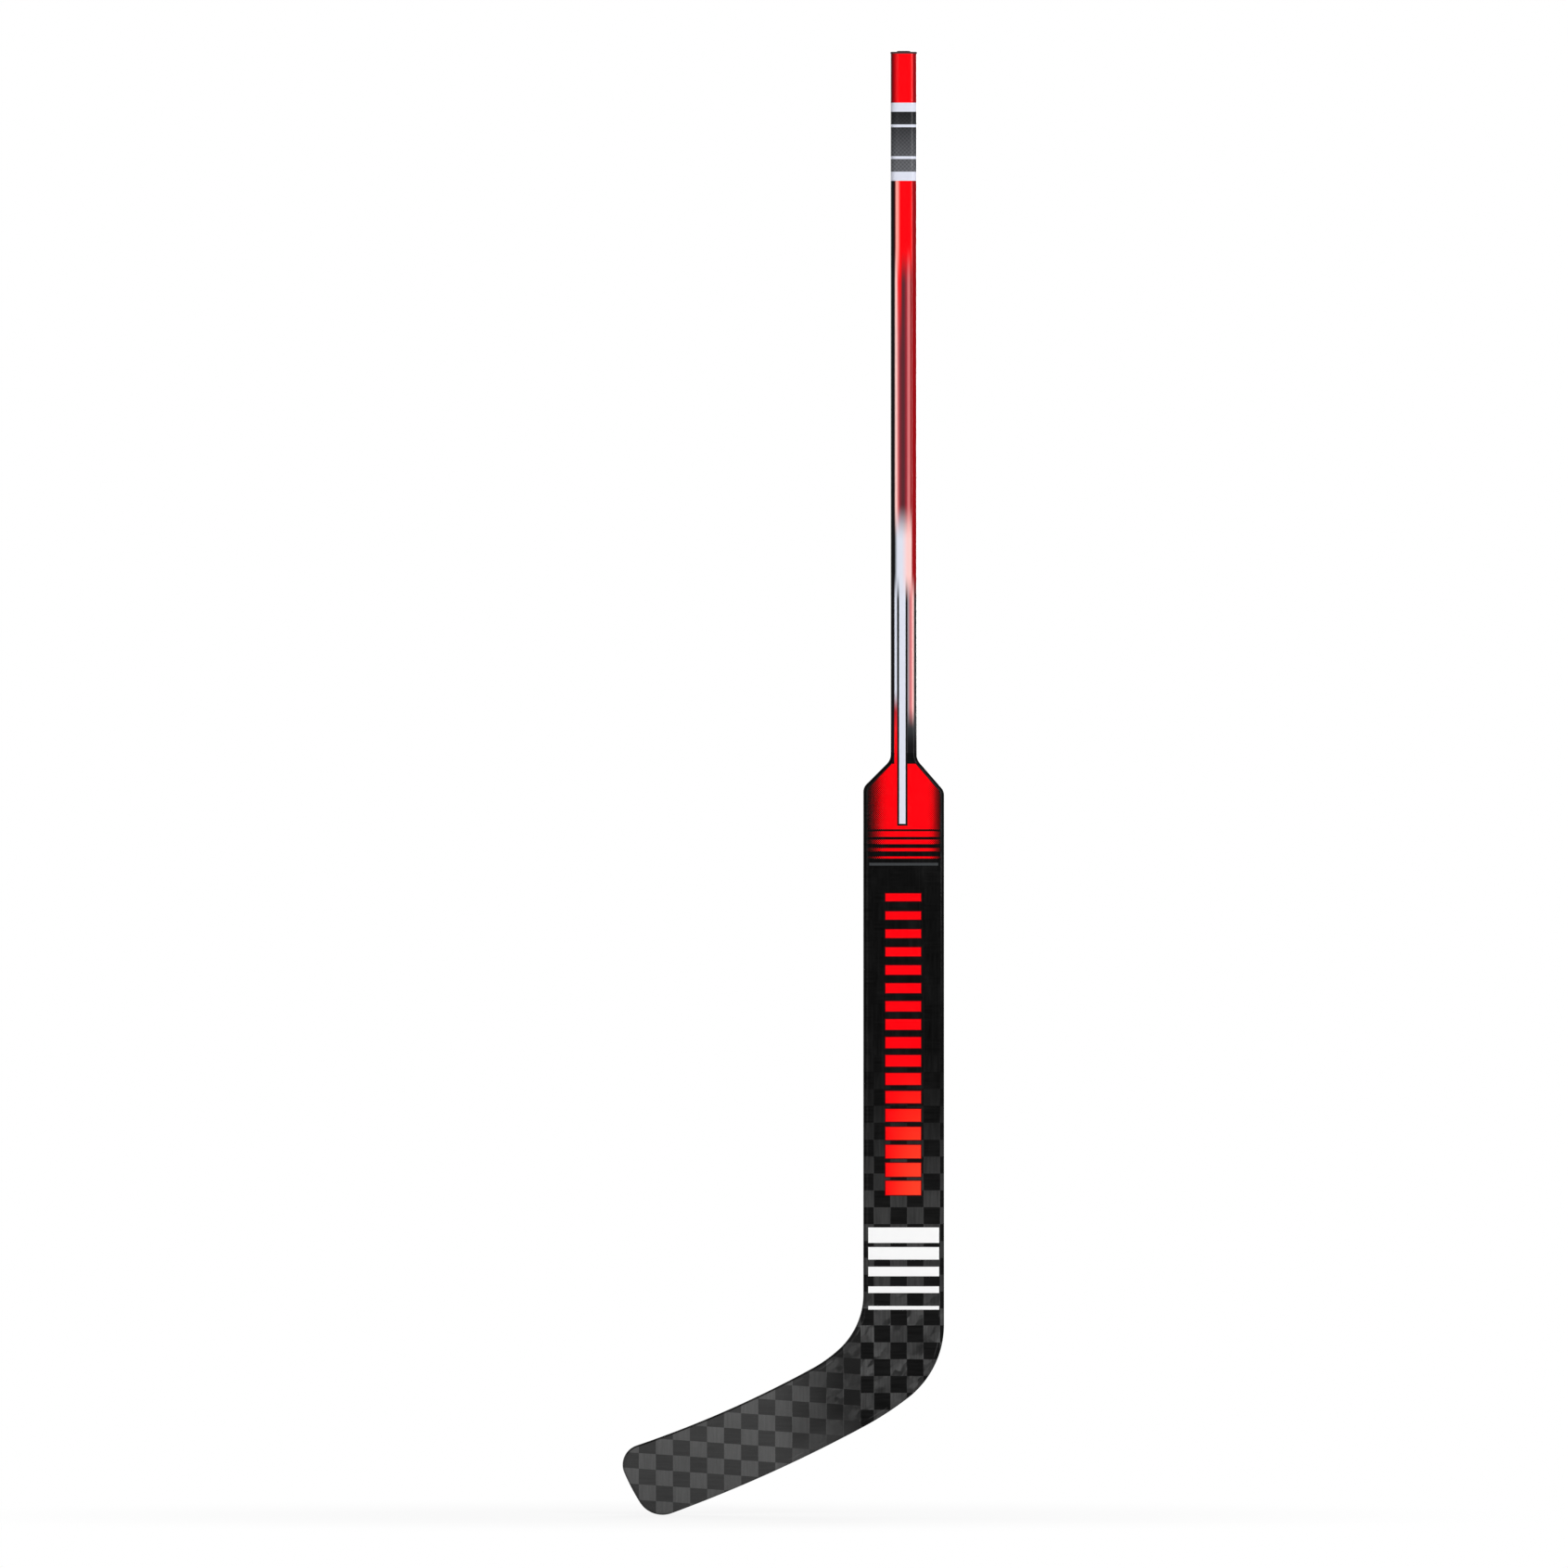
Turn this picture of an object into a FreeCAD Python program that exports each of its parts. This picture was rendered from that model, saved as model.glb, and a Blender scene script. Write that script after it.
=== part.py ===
import FreeCAD, Part
import math
import os
import Sketcher

# Hockey goalie stick, seen from its backhand side: X to the right, Y away, Z up the shaft.
# The origin is on the shaft's axis at the neck, where the paddle's shoulders begin.

# Driving dimensions in millimetres and degrees
SIZES = (
    # shaft and the layers of the wall
    ("shaft_width", 28.6),
    ("shaft_depth", 20.0),
    ("shaft_length", 770.0),
    ("shaft_wall", 1.6),
    ("edge_radius", 4.0),
    ("weave_ply", 0.3),
    ("laminate", 1.0),
    ("bond_gap", 0.1),
    # shoulders and paddle
    ("neck_run", 1.5),
    ("neck_radius", 15.0),
    ("shoulder_radius", 12.0),
    ("shoulder_turn_left", 45.0),
    ("shoulder_turn_right", 41.0),
    ("paddle_width", 88.9),
    ("paddle_run", 595.6),
    # inner curve from the paddle's left edge to the blade's top edge
    ("elbow_radius", 83.0),
    ("elbow_turn", 47.5),
    ("elbow_ease_radius", 150.0),
    ("elbow_ease_turn", 13.8),
    ("top_rocker_radius", 1230.0),
    # outer curve from the paddle's right edge to the blade's bottom edge
    ("heel_drop", 34.0),
    ("heel_radius", 102.0),
    ("heel_turn", 52.2),
    ("heel_ease_radius", 358.0),
    ("heel_ease_turn", 9.5),
    ("bottom_rocker_radius", 1680.0),
    # toe, placed by the middle of its edge
    ("toe_reach", 255.4),
    ("toe_fall", 214.3),
    ("toe_lean", 27.6),
    ("toe_radius", 252.0),
    ("toe_top_radius", 22.5),
    ("toe_bottom_radius", 29.5),
    # taper of the paddle and bend of the blade, across a tilted bend line
    ("taper_length", 420.0),
    ("bend_tilt", 15.0),
    ("bend_drop", 44.4),
    ("bend_past_toe", 60.0),
    ("bend_depth", 44.0),
    ("elbow_thickness", 14.0),
    ("toe_thickness", 9.2),
    ("seam_step", 5.5),
    # butt plug
    ("plug_flange", 2.0),
    ("plug_lip", 0.3),
    ("plug_flange_round", 0.7),
    ("plug_dome_width", 15.0),
    ("plug_dome_depth", 11.0),
    ("plug_dome_corner", 5.0),
    ("plug_dome_rise", 1.2),
    ("plug_dome_round", 1.0),
    ("plug_length", 45.0),
    ("plug_gap", 0.3),
    ("plug_wall", 2.5),
    ("plug_hollow_corner", 1.0),
    ("crush_rib_radius", 0.8),
    ("crush_rib_rise", 0.2),
    ("crush_rib_pitch", 7.0),
    # neck spigot and its dam
    ("spigot_up", 80.0),
    ("spigot_down", 110.0),
    ("spigot_wall", 2.2),
    ("spigot_bore_corner", 1.0),
    ("dam_length", 22.0),
    # webs, tongue and cores
    ("rib_thickness", 1.2),
    ("rib_top", 10.0),
    ("heel_block_top", 4.0),
    ("spar_fall", 22.9),
    ("spar_drop", 107.4),
    ("tongue_height", 34.0),
    ("tongue_in", 42.0),
    ("tongue_out", 95.0),
)
size = dict(SIZES)

# How far cutting tools reach past the stick, and how far the neck is drawn before it is trimmed
ROOM = 150.0
LONG = 2400.0
NECK_OVERRUN = 12.0

doc = FreeCAD.newDocument("goalie_stick")
sheet = doc.addObject("Spreadsheet::Sheet", "Dims")
for row, (name, value) in enumerate(SIZES, start=1):
    sheet.set("A%d" % row, name)
    sheet.set("B%d" % row, str(value))
    sheet.setAlias("B%d" % row, name)
doc.recompute()


class Size:
    """A number with the expression that works it out from the sheet."""

    def __init__(self, value, expression):
        self.value = value
        self.expression = expression

    def __add__(self, other):
        other = as_size(other)
        return Size(self.value + other.value, "(%s + %s)" % (self.expression, other.expression))

    def __sub__(self, other):
        other = as_size(other)
        return Size(self.value - other.value, "(%s - %s)" % (self.expression, other.expression))

    def __mul__(self, other):
        other = as_size(other)
        return Size(self.value * other.value, "(%s * %s)" % (self.expression, other.expression))

    def __truediv__(self, other):
        other = as_size(other)
        return Size(self.value / other.value, "(%s / %s)" % (self.expression, other.expression))

    def __neg__(self):
        return Size(-self.value, "(-%s)" % self.expression)


def as_size(number):
    return number if isinstance(number, Size) else Size(number, repr(float(number)))


def dim(name):
    return Size(size[name], "Dims." + name)


def sine(name):
    return Size(math.sin(math.radians(size[name])), "sin(Dims.%s * 1 deg)" % name)


def cosine(name):
    return Size(math.cos(math.radians(size[name])), "cos(Dims.%s * 1 deg)" % name)


# Depths of the layers below the outer skin
SKIN = as_size(0)
UNDER_WEAVE = dim("weave_ply")
CAVITY = dim("weave_ply") + dim("laminate")

# Places that several pieces share
HALF_PADDLE = dim("paddle_width") / 2
SEAM_X = -(HALF_PADDLE + dim("seam_step"))
HEEL_LINE = -(dim("paddle_run") + dim("heel_block_top"))
SPIGOT_END = -dim("spigot_down")


def vector(x, y, z=0.0):
    return FreeCAD.Vector(x, y, z)


def fall(degrees):
    """Unit vector that points to the right and below level by an angle."""
    return vector(math.cos(math.radians(degrees)), -math.sin(math.radians(degrees)))


# Bodies, sketches and features

START, END, CENTRE = 1, 2, 3
ORIGIN = (-1, START)
LEVEL_AXIS = -1


def new_body(name):
    body = doc.addObject("PartDesign::Body", name)
    body.Label = name
    return body


def new_sketch(body, role, name):
    sketch = body.newObject("Sketcher::SketchObject", body.Name + "_" + name)
    plane = next(item for item in body.Origin.OriginFeatures if item.Role == role)
    sketch.AttachmentSupport = (plane, "")
    sketch.MapMode = "FlatFace"
    return sketch


def raise_sketch(sketch, height):
    sketch.AttachmentOffset = FreeCAD.Placement(vector(0, 0, height.value), FreeCAD.Rotation())
    sketch.setExpression("AttachmentOffset.Base.z", height.expression)


def feature(body, kind, sketch, length, symmetric=False, reverse=False):
    made = body.newObject("PartDesign::" + kind, sketch.Name + "_" + kind.lower())
    made.Profile = sketch
    made.SideType = "Symmetric" if symmetric else "One side"
    made.Reversed = reverse
    made.setExpression("Length", as_size(length).expression)
    doc.recompute()
    return made


def round_edges(body, base, edges, radius):
    """Fillet the edges of a feature that a test picks out."""
    names = ["Edge%d" % number for number, edge in enumerate(base.Shape.Edges, start=1) if edges(edge)]
    made = body.newObject("PartDesign::Fillet", body.Name + "_fillet")
    made.Base = (base, names)
    made.setExpression("Radius", radius.expression)
    doc.recompute()
    return made


def measure(sketch, kind, where, wanted):
    index = sketch.addConstraint(Sketcher.Constraint(kind, *where, wanted.value))
    sketch.setExpression("Constraints[%d]" % index, wanted.expression)


def angle(sketch, where, wanted):
    """An angle in degrees, bound to the sheet."""
    index = sketch.addConstraint(Sketcher.Constraint("Angle", *where, math.radians(wanted.value)))
    sketch.setExpression("Constraints[%d]" % index, wanted.expression + " * 1 deg")


def place(sketch, kind, point, wanted):
    """Hold a point at a signed distance from the sketch's origin, across or up."""
    if wanted.value < 0:
        measure(sketch, kind, (*point, *ORIGIN), -wanted)
    else:
        measure(sketch, kind, (*ORIGIN, *point), wanted)


def tie(sketch, kind, *where):
    sketch.addConstraint(Sketcher.Constraint(kind, *where))


def add_line(sketch, start, end):
    return sketch.addGeometry(Part.LineSegment(start, end))


def add_arc(sketch, centre, start, end, leftward):
    """Arc that turns left or right on its way. One that turns right is stored from its end."""
    first, last = (start, end) if leftward else (end, start)
    low = math.atan2(first.y - centre.y, first.x - centre.x)
    high = math.atan2(last.y - centre.y, last.x - centre.x)
    if high < low:
        high += 2 * math.pi
    circle = Part.Circle(centre, vector(0, 0, 1), (start - centre).Length)
    return sketch.addGeometry(Part.ArcOfCircle(circle, low, high))


def rounded_rectangle(sketch, width, depth, radius):
    half_x, half_y = width / 2, depth / 2
    arcs = []
    for sign_x, sign_y in ((1, 1), (-1, 1), (-1, -1), (1, -1)):
        centre = vector(sign_x * (half_x.value - radius.value), sign_y * (half_y.value - radius.value))
        beside = centre + vector(sign_x * radius.value, 0)
        above = centre + vector(0, sign_y * radius.value)
        ends = (beside, above) if sign_x == sign_y else (above, beside)
        arcs.append(add_arc(sketch, centre, *ends, True))
    for number, arc in enumerate(arcs):
        following = arcs[(number + 1) % len(arcs)]
        side = add_line(sketch, sketch.getPoint(arc, END), sketch.getPoint(following, START))
        tie(sketch, "Tangent", arc, END, side, START)
        tie(sketch, "Tangent", side, END, following, START)
        tie(sketch, "Vertical" if number % 2 else "Horizontal", side)
        if number:
            tie(sketch, "Equal", arcs[0], arc)
    measure(sketch, "Radius", (arcs[0],), radius)
    place(sketch, "DistanceX", (arcs[0], START), half_x)
    place(sketch, "DistanceX", (arcs[1], END), -half_x)
    place(sketch, "DistanceY", (arcs[0], END), half_y)
    place(sketch, "DistanceY", (arcs[2], END), -half_y)


def section(sketch, inset):
    """The shaft's rounded section, drawn in by an inset."""
    rounded_rectangle(sketch, dim("shaft_width") - inset * 2, dim("shaft_depth") - inset * 2,
                      dim("edge_radius") - inset)


# Outline of the paddle and blade


def meeting(first, first_reach, second, second_reach):
    """The more leftward of the two points at given reaches from two centres."""
    apart = second - first
    along = (first_reach ** 2 - second_reach ** 2 + apart.Length ** 2) / (2 * apart.Length)
    aside = math.sqrt(first_reach ** 2 - along ** 2)
    ahead = apart / apart.Length
    across = vector(-ahead.y, ahead.x) * aside
    foot = first + ahead * along
    return min((foot + across, foot - across), key=lambda point: point.x)


def on_circle(centre, towards, radius):
    return centre + (towards - centre).normalize() * radius


def shoulder(side, turn):
    """Four points down one shoulder, from the neck to the paddle's edge, and its two centres."""
    neck_x, edge_x = size["shaft_width"] / 2, size["paddle_width"] / 2
    drawn_in = (size["neck_radius"] + size["shoulder_radius"]) * (1 - math.cos(math.radians(turn)))
    slope = (edge_x - neck_x - drawn_in) / math.sin(math.radians(turn))
    neck_start = vector(neck_x, -size["neck_run"])
    neck_centre = neck_start + vector(size["neck_radius"], 0)
    inward = -fall(-turn)
    neck_end = neck_centre + inward * size["neck_radius"]
    line_end = neck_end + vector(-inward.y, inward.x) * slope
    edge_centre = line_end + inward * size["shoulder_radius"]
    edge_start = vector(edge_x, edge_centre.y)
    points = (neck_start, neck_end, line_end, edge_start, neck_centre, edge_centre)
    return [vector(side * point.x, point.y) for point in points]


def outline_steps():
    """The outline leftward round from the neck: a name, an end point and, for arcs, a centre and
    which way the arc turns. An arc's name is its radius in the sheet."""
    half = size["paddle_width"] / 2
    elbow_z = -size["paddle_run"]
    heel_z = elbow_z - size["heel_drop"]

    elbow = vector(-half - size["elbow_radius"], elbow_z)
    elbow_end = elbow + fall(size["elbow_turn"]) * size["elbow_radius"]
    elbow_ease = elbow_end - fall(size["elbow_turn"]) * size["elbow_ease_radius"]
    top_angle = size["elbow_turn"] + size["elbow_ease_turn"]
    top_start = elbow_ease + fall(top_angle) * size["elbow_ease_radius"]
    top = top_start - fall(top_angle) * size["top_rocker_radius"]

    heel = vector(half - size["heel_radius"], heel_z)
    heel_start = heel + fall(size["heel_turn"]) * size["heel_radius"]
    heel_ease = heel_start - fall(size["heel_turn"]) * size["heel_ease_radius"]
    bottom_angle = size["heel_turn"] + size["heel_ease_turn"]
    bottom_end = heel_ease + fall(bottom_angle) * size["heel_ease_radius"]
    bottom = bottom_end - fall(bottom_angle) * size["bottom_rocker_radius"]

    toe_middle = vector(-half - size["toe_reach"], elbow_z - size["toe_fall"])
    toe = toe_middle + fall(-size["toe_lean"]) * size["toe_radius"]
    upper = meeting(top, size["top_rocker_radius"] + size["toe_top_radius"],
                    toe, size["toe_radius"] - size["toe_top_radius"])
    lower = meeting(bottom, size["bottom_rocker_radius"] - size["toe_bottom_radius"],
                    toe, size["toe_radius"] - size["toe_bottom_radius"])

    left = shoulder(-1, size["shoulder_turn_left"])
    right = shoulder(1, size["shoulder_turn_right"])
    neck_x = size["shaft_width"] / 2
    return (
        ("neck_left", left[0], None, 0),
        ("neck_radius", left[1], left[4], -1),
        ("shoulder_left", left[2], None, 0),
        ("shoulder_radius", left[3], left[5], 1),
        ("edge_left", vector(-half, elbow_z), None, 0),
        ("elbow_radius", elbow_end, elbow, -1),
        ("elbow_ease_radius", top_start, elbow_ease, -1),
        ("top_rocker_radius", on_circle(top, upper, size["top_rocker_radius"]), top, -1),
        ("toe_top_radius", on_circle(toe, upper, size["toe_radius"]), upper, 1),
        ("toe_radius", on_circle(toe, lower, size["toe_radius"]), toe, 1),
        ("toe_bottom_radius", on_circle(bottom, lower, size["bottom_rocker_radius"]), lower, 1),
        ("bottom_rocker_radius", bottom_end, bottom, 1),
        ("heel_ease_radius", heel_start, heel_ease, 1),
        ("heel_radius", vector(half, heel_z), heel, 1),
        ("edge_right", right[3], None, 0),
        ("shoulder_radius", right[2], right[5], 1),
        ("shoulder_right", right[1], None, 0),
        ("neck_radius", right[0], right[4], -1),
        ("neck_right", vector(neck_x, NECK_OVERRUN), None, 0),
    )


def draw_outline(sketch, inset):
    """Draw the outline, drawn in by an inset, with every dimension bound to the sheet."""
    steps = outline_steps()
    before = vector(-size["shaft_width"] / 2, NECK_OVERRUN)
    corners = []
    for name, point, centre, turn in steps:
        if centre is None:
            ahead = (point - before).normalize()
        else:
            ahead = vector(centre.y - before.y, before.x - centre.x).normalize() * turn
        corners.append(before + vector(-ahead.y, ahead.x) * inset.value)
        before = point
    corners.append(before + vector(-inset.value, 0))

    pieces, firsts, lasts = [], [], []
    for number, (name, point, centre, turn) in enumerate(steps):
        start, end = corners[number], corners[number + 1]
        if centre is None:
            pieces.append(add_line(sketch, start, end))
        else:
            pieces.append(add_arc(sketch, centre, start, end, turn > 0))
            measure(sketch, "Radius", (pieces[-1],), dim(name) - inset * turn)
        firsts.append(END if turn < 0 else START)
        lasts.append(START if turn < 0 else END)
    for number in range(1, len(pieces)):
        tie(sketch, "Tangent", pieces[number - 1], lasts[number - 1], pieces[number], firsts[number])
    lid = add_line(sketch, corners[-1], corners[0])
    tie(sketch, "Coincident", pieces[-1], END, lid, START)
    tie(sketch, "Coincident", lid, END, pieces[0], START)
    tie(sketch, "Horizontal", lid)

    part = dict(zip((step[0] for step in steps), pieces))
    for name in ("neck_left", "edge_left", "edge_right", "neck_right"):
        tie(sketch, "Vertical", part[name])
    half_neck = dim("shaft_width") / 2 - inset
    half_width = HALF_PADDLE - inset
    place(sketch, "DistanceX", (part["neck_left"], START), -half_neck)
    place(sketch, "DistanceX", (part["neck_right"], END), half_neck)
    place(sketch, "DistanceX", (part["edge_left"], START), -half_width)
    place(sketch, "DistanceX", (part["edge_right"], END), half_width)
    place(sketch, "DistanceY", (lid, START), as_size(NECK_OVERRUN))
    place(sketch, "DistanceY", (part["neck_left"], END), -dim("neck_run"))
    place(sketch, "DistanceY", (part["neck_right"], START), -dim("neck_run"))
    place(sketch, "DistanceY", (part["edge_left"], END), -dim("paddle_run"))
    place(sketch, "DistanceY", (part["edge_right"], START), -(dim("paddle_run") + dim("heel_drop")))
    angle(sketch, (part["neck_left"], END, part["shoulder_left"], START),
          as_size(180) - dim("shoulder_turn_left"))
    angle(sketch, (part["shoulder_right"], END, part["neck_right"], START),
          as_size(180) - dim("shoulder_turn_right"))
    for bend in ("elbow", "elbow_ease", "heel", "heel_ease"):
        angle(sketch, (part[bend + "_radius"],), dim(bend + "_turn"))
    toe = (part["toe_radius"], CENTRE)
    place(sketch, "DistanceX", toe,
          dim("toe_radius") * cosine("toe_lean") - HALF_PADDLE - dim("toe_reach"))
    place(sketch, "DistanceY", toe,
          dim("toe_radius") * sine("toe_lean") - dim("paddle_run") - dim("toe_fall"))


# Side profile, drawn square to the bend line: Y across, and up the paddle from the bend line

BEND_END = ((dim("toe_fall") - dim("bend_drop")) * cosine("bend_tilt")
            + dim("toe_reach") * sine("bend_tilt") + dim("bend_past_toe"))
PROFILE_TOP = dim("paddle_run") + dim("bend_drop") + ROOM


def profile_sketch(body, name):
    sketch = new_sketch(body, "YZ_Plane", name)
    across, up = -HALF_PADDLE, -(dim("paddle_run") + dim("bend_drop"))
    sketch.AttachmentOffset = FreeCAD.Placement(
        vector(0, up.value, across.value), FreeCAD.Rotation(vector(1, 0, 0), size["bend_tilt"]))
    sketch.setExpression("AttachmentOffset.Base.y", up.expression)
    sketch.setExpression("AttachmentOffset.Base.z", across.expression)
    sketch.setExpression("AttachmentOffset.Rotation.Angle", "Dims.bend_tilt * 1 deg")
    return sketch


def arc_from(start, heading, end):
    """Centre of the arc that leaves a point along a heading and passes through an end."""
    aside = vector(-heading.y, heading.x)
    chord = end - start
    return start + aside * (chord.Length ** 2 / (2 * chord.dot(aside)))


def draw_face(sketch, side, inset):
    """Close the space outside one face of the stick: side -1 is the near face, 1 the far one."""
    paddle_y = (dim("shaft_depth") / 2 - inset) * side
    elbow_y = (dim("elbow_thickness") / 2 - inset) * side
    toe_y = dim("bend_depth") + (dim("toe_thickness") / 2 - inset) * side
    top = vector(paddle_y.value, PROFILE_TOP.value)
    taper_start = vector(paddle_y.value, size["taper_length"])
    elbow = vector(elbow_y.value, 0)
    toe = vector(toe_y.value, -BEND_END.value)
    far = as_size(side * ROOM)

    taper_centre = arc_from(taper_start, vector(0, -1), elbow)
    heading = vector(taper_centre.y - elbow.y, elbow.x - taper_centre.x).normalize() * -side
    wall = add_line(sketch, top, taper_start)
    taper = add_arc(sketch, taper_centre, taper_start, elbow, side < 0)
    bend = add_arc(sketch, arc_from(elbow, heading, toe), elbow, toe, True)
    floor = add_line(sketch, toe, vector(far.value, toe.y))
    outer = add_line(sketch, vector(far.value, toe.y), vector(far.value, top.y))
    roof = add_line(sketch, vector(far.value, top.y), top)
    taper_first, taper_last = (START, END) if side < 0 else (END, START)
    tie(sketch, "Tangent", wall, END, taper, taper_first)
    tie(sketch, "Tangent", taper, taper_last, bend, START)
    close_face(sketch, bend, floor, outer, roof, wall, far)
    place(sketch, "DistanceX", (wall, START), paddle_y)
    place(sketch, "DistanceY", (wall, END), dim("taper_length"))
    place(sketch, "DistanceX", (taper, taper_last), elbow_y)
    tie(sketch, "PointOnObject", taper, taper_last, LEVEL_AXIS)
    place(sketch, "DistanceX", (bend, END), toe_y)


def close_face(sketch, bend, floor, outer, roof, wall, far):
    tie(sketch, "Coincident", bend, END, floor, START)
    tie(sketch, "Coincident", floor, END, outer, START)
    tie(sketch, "Coincident", outer, END, roof, START)
    tie(sketch, "Coincident", roof, END, wall, START)
    tie(sketch, "Vertical", wall)
    tie(sketch, "Vertical", outer)
    tie(sketch, "Horizontal", floor)
    tie(sketch, "Horizontal", roof)
    place(sketch, "DistanceY", (wall, START), PROFILE_TOP)
    place(sketch, "DistanceY", (bend, END), -BEND_END)
    place(sketch, "DistanceX", (outer, START), far)


def draw_parting(sketch):
    """Close the space on the near side of the middle surface, where the half shells part."""
    top = vector(0, PROFILE_TOP.value)
    elbow = vector(0, 0)
    toe = vector(size["bend_depth"], -BEND_END.value)
    far = as_size(-ROOM)
    wall = add_line(sketch, top, elbow)
    bend = add_arc(sketch, arc_from(elbow, vector(0, -1), toe), elbow, toe, True)
    floor = add_line(sketch, toe, vector(far.value, toe.y))
    outer = add_line(sketch, vector(far.value, toe.y), vector(far.value, top.y))
    roof = add_line(sketch, vector(far.value, top.y), top)
    tie(sketch, "Tangent", wall, END, bend, START)
    tie(sketch, "Coincident", wall, END, *ORIGIN)
    close_face(sketch, bend, floor, outer, roof, wall, far)
    place(sketch, "DistanceX", (bend, END), dim("bend_depth"))


def faces_across(face):
    """How far a face looks along Y: 0 for a wall of the outline, near 1 for the broad faces."""
    low_u, high_u, low_v, high_v = face.ParameterRange
    return abs(face.normalAt((low_u + high_u) / 2, (low_v + high_v) / 2).y)


BROAD = 0.5


def form(name, inset):
    """The whole paddle and blade as one solid, drawn in by an inset on every side."""
    body = new_body(name)
    outline = new_sketch(body, "XZ_Plane", "outline")
    draw_outline(outline, inset)
    feature(body, "Pad", outline, 2 * ROOM, symmetric=True)
    faces = profile_sketch(body, "faces")
    draw_face(faces, -1, inset)
    draw_face(faces, 1, inset)
    slab = feature(body, "Pocket", faces, LONG, symmetric=True)

    def is_rim(edge):
        looks = [faces_across(face) for face in slab.Shape.ancestorsOfType(edge, Part.Face)]
        on_lid = edge.BoundBox.ZMin > NECK_OVERRUN / 2
        return not on_lid and min(looks) < BROAD < max(looks)

    round_edges(body, slab, is_rim, dim("edge_radius") - inset)
    trim = new_sketch(body, "XY_Plane", "neck_trim")
    rounded_rectangle(trim, as_size(ROOM), as_size(ROOM), as_size(NECK_OVERRUN))
    feature(body, "Pocket", trim, 2 * NECK_OVERRUN, reverse=True)
    return body


outer_form = form("outer_form", SKIN)
weave_form = form("under_weave_form", UNDER_WEAVE)
cavity = form("cavity_form", CAVITY)

near_half = new_body("near_half")
parting = profile_sketch(near_half, "parting")
draw_parting(parting)
feature(near_half, "Pad", parting, LONG, symmetric=True)


# Cutting blocks and booleans


def block(name, low_x, high_x, low_z, high_z, tilt=None):
    """A block right through the stick. With a tilt, its X and Z are along and across the spar."""
    made = doc.addObject("Part::Box", name)
    made.setExpression("Length", (high_x - low_x).expression)
    made.setExpression("Height", (high_z - low_z).expression)
    made.Width = 2 * ROOM
    base_x, base_z, turn = low_x, low_z, as_size(0)
    if tilt:
        base_x = SEAM_X + low_x * cosine(tilt) - low_z * sine(tilt)
        base_z = -(dim("paddle_run") + dim("spar_drop")) + low_x * sine(tilt) + low_z * cosine(tilt)
        turn = -dim(tilt)
    made.Placement = FreeCAD.Placement(
        vector(base_x.value, -ROOM, base_z.value), FreeCAD.Rotation(vector(0, 1, 0), turn.value))
    made.setExpression("Placement.Base.x", base_x.expression)
    made.setExpression("Placement.Base.z", base_z.expression)
    if tilt:
        made.setExpression("Placement.Rotation.Angle", turn.expression + " * 1 deg")
    return made


def boolean(kind, name, base, tool):
    made = doc.addObject("Part::" + kind, name)
    made.Label = name
    made.Base = base
    made.Tool = tool
    doc.recompute()
    return made


FAR_LEFT = as_size(-LONG / 2)
FAR_RIGHT = as_size(LONG / 2)
blade_side = block("blade_side", FAR_LEFT, SEAM_X, FAR_LEFT, FAR_RIGHT)

nodes = []


def keep(made):
    nodes.append(made)
    return made


# Skins: cloth over laminate, each in halves on the paddle and on the blade


def skins(layer, outside, inside):
    whole = boolean("Cut", layer + "_all", outside, inside)
    for region, kind in (("paddle", "Cut"), ("blade", "Common")):
        both = boolean(kind, "%s_%s_both" % (region, layer), whole, blade_side)
        keep(boolean("Common", "%s_front_%s" % (region, layer), both, near_half))
        keep(boolean("Cut", "%s_back_%s" % (region, layer), both, near_half))


skins("weave", outer_form, weave_form)
skins("laminate", weave_form, cavity)


# Shaft, butt plug and neck spigot

BORE = dim("shaft_wall")
PLUG = dim("shaft_wall") + dim("plug_gap")
SPIGOT_IN_SHAFT = dim("shaft_wall") + dim("bond_gap")
SPIGOT_IN_PADDLE = CAVITY + dim("bond_gap")
SPIGOT_BORE = SPIGOT_IN_PADDLE + dim("spigot_wall")
LEVEL_SLACK = 0.01


def shaft_tube():
    body = new_body("shaft_tube")
    wall = new_sketch(body, "XY_Plane", "wall")
    section(wall, SKIN)
    section(wall, BORE)
    feature(body, "Pad", wall, dim("shaft_length"))
    return body


def on_level(level):
    """Test for edges that lie level at a height."""
    def test(edge):
        box = edge.BoundBox
        return abs(box.ZMin - level.value) < LEVEL_SLACK and abs(box.ZMax - level.value) < LEVEL_SLACK
    return test


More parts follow.
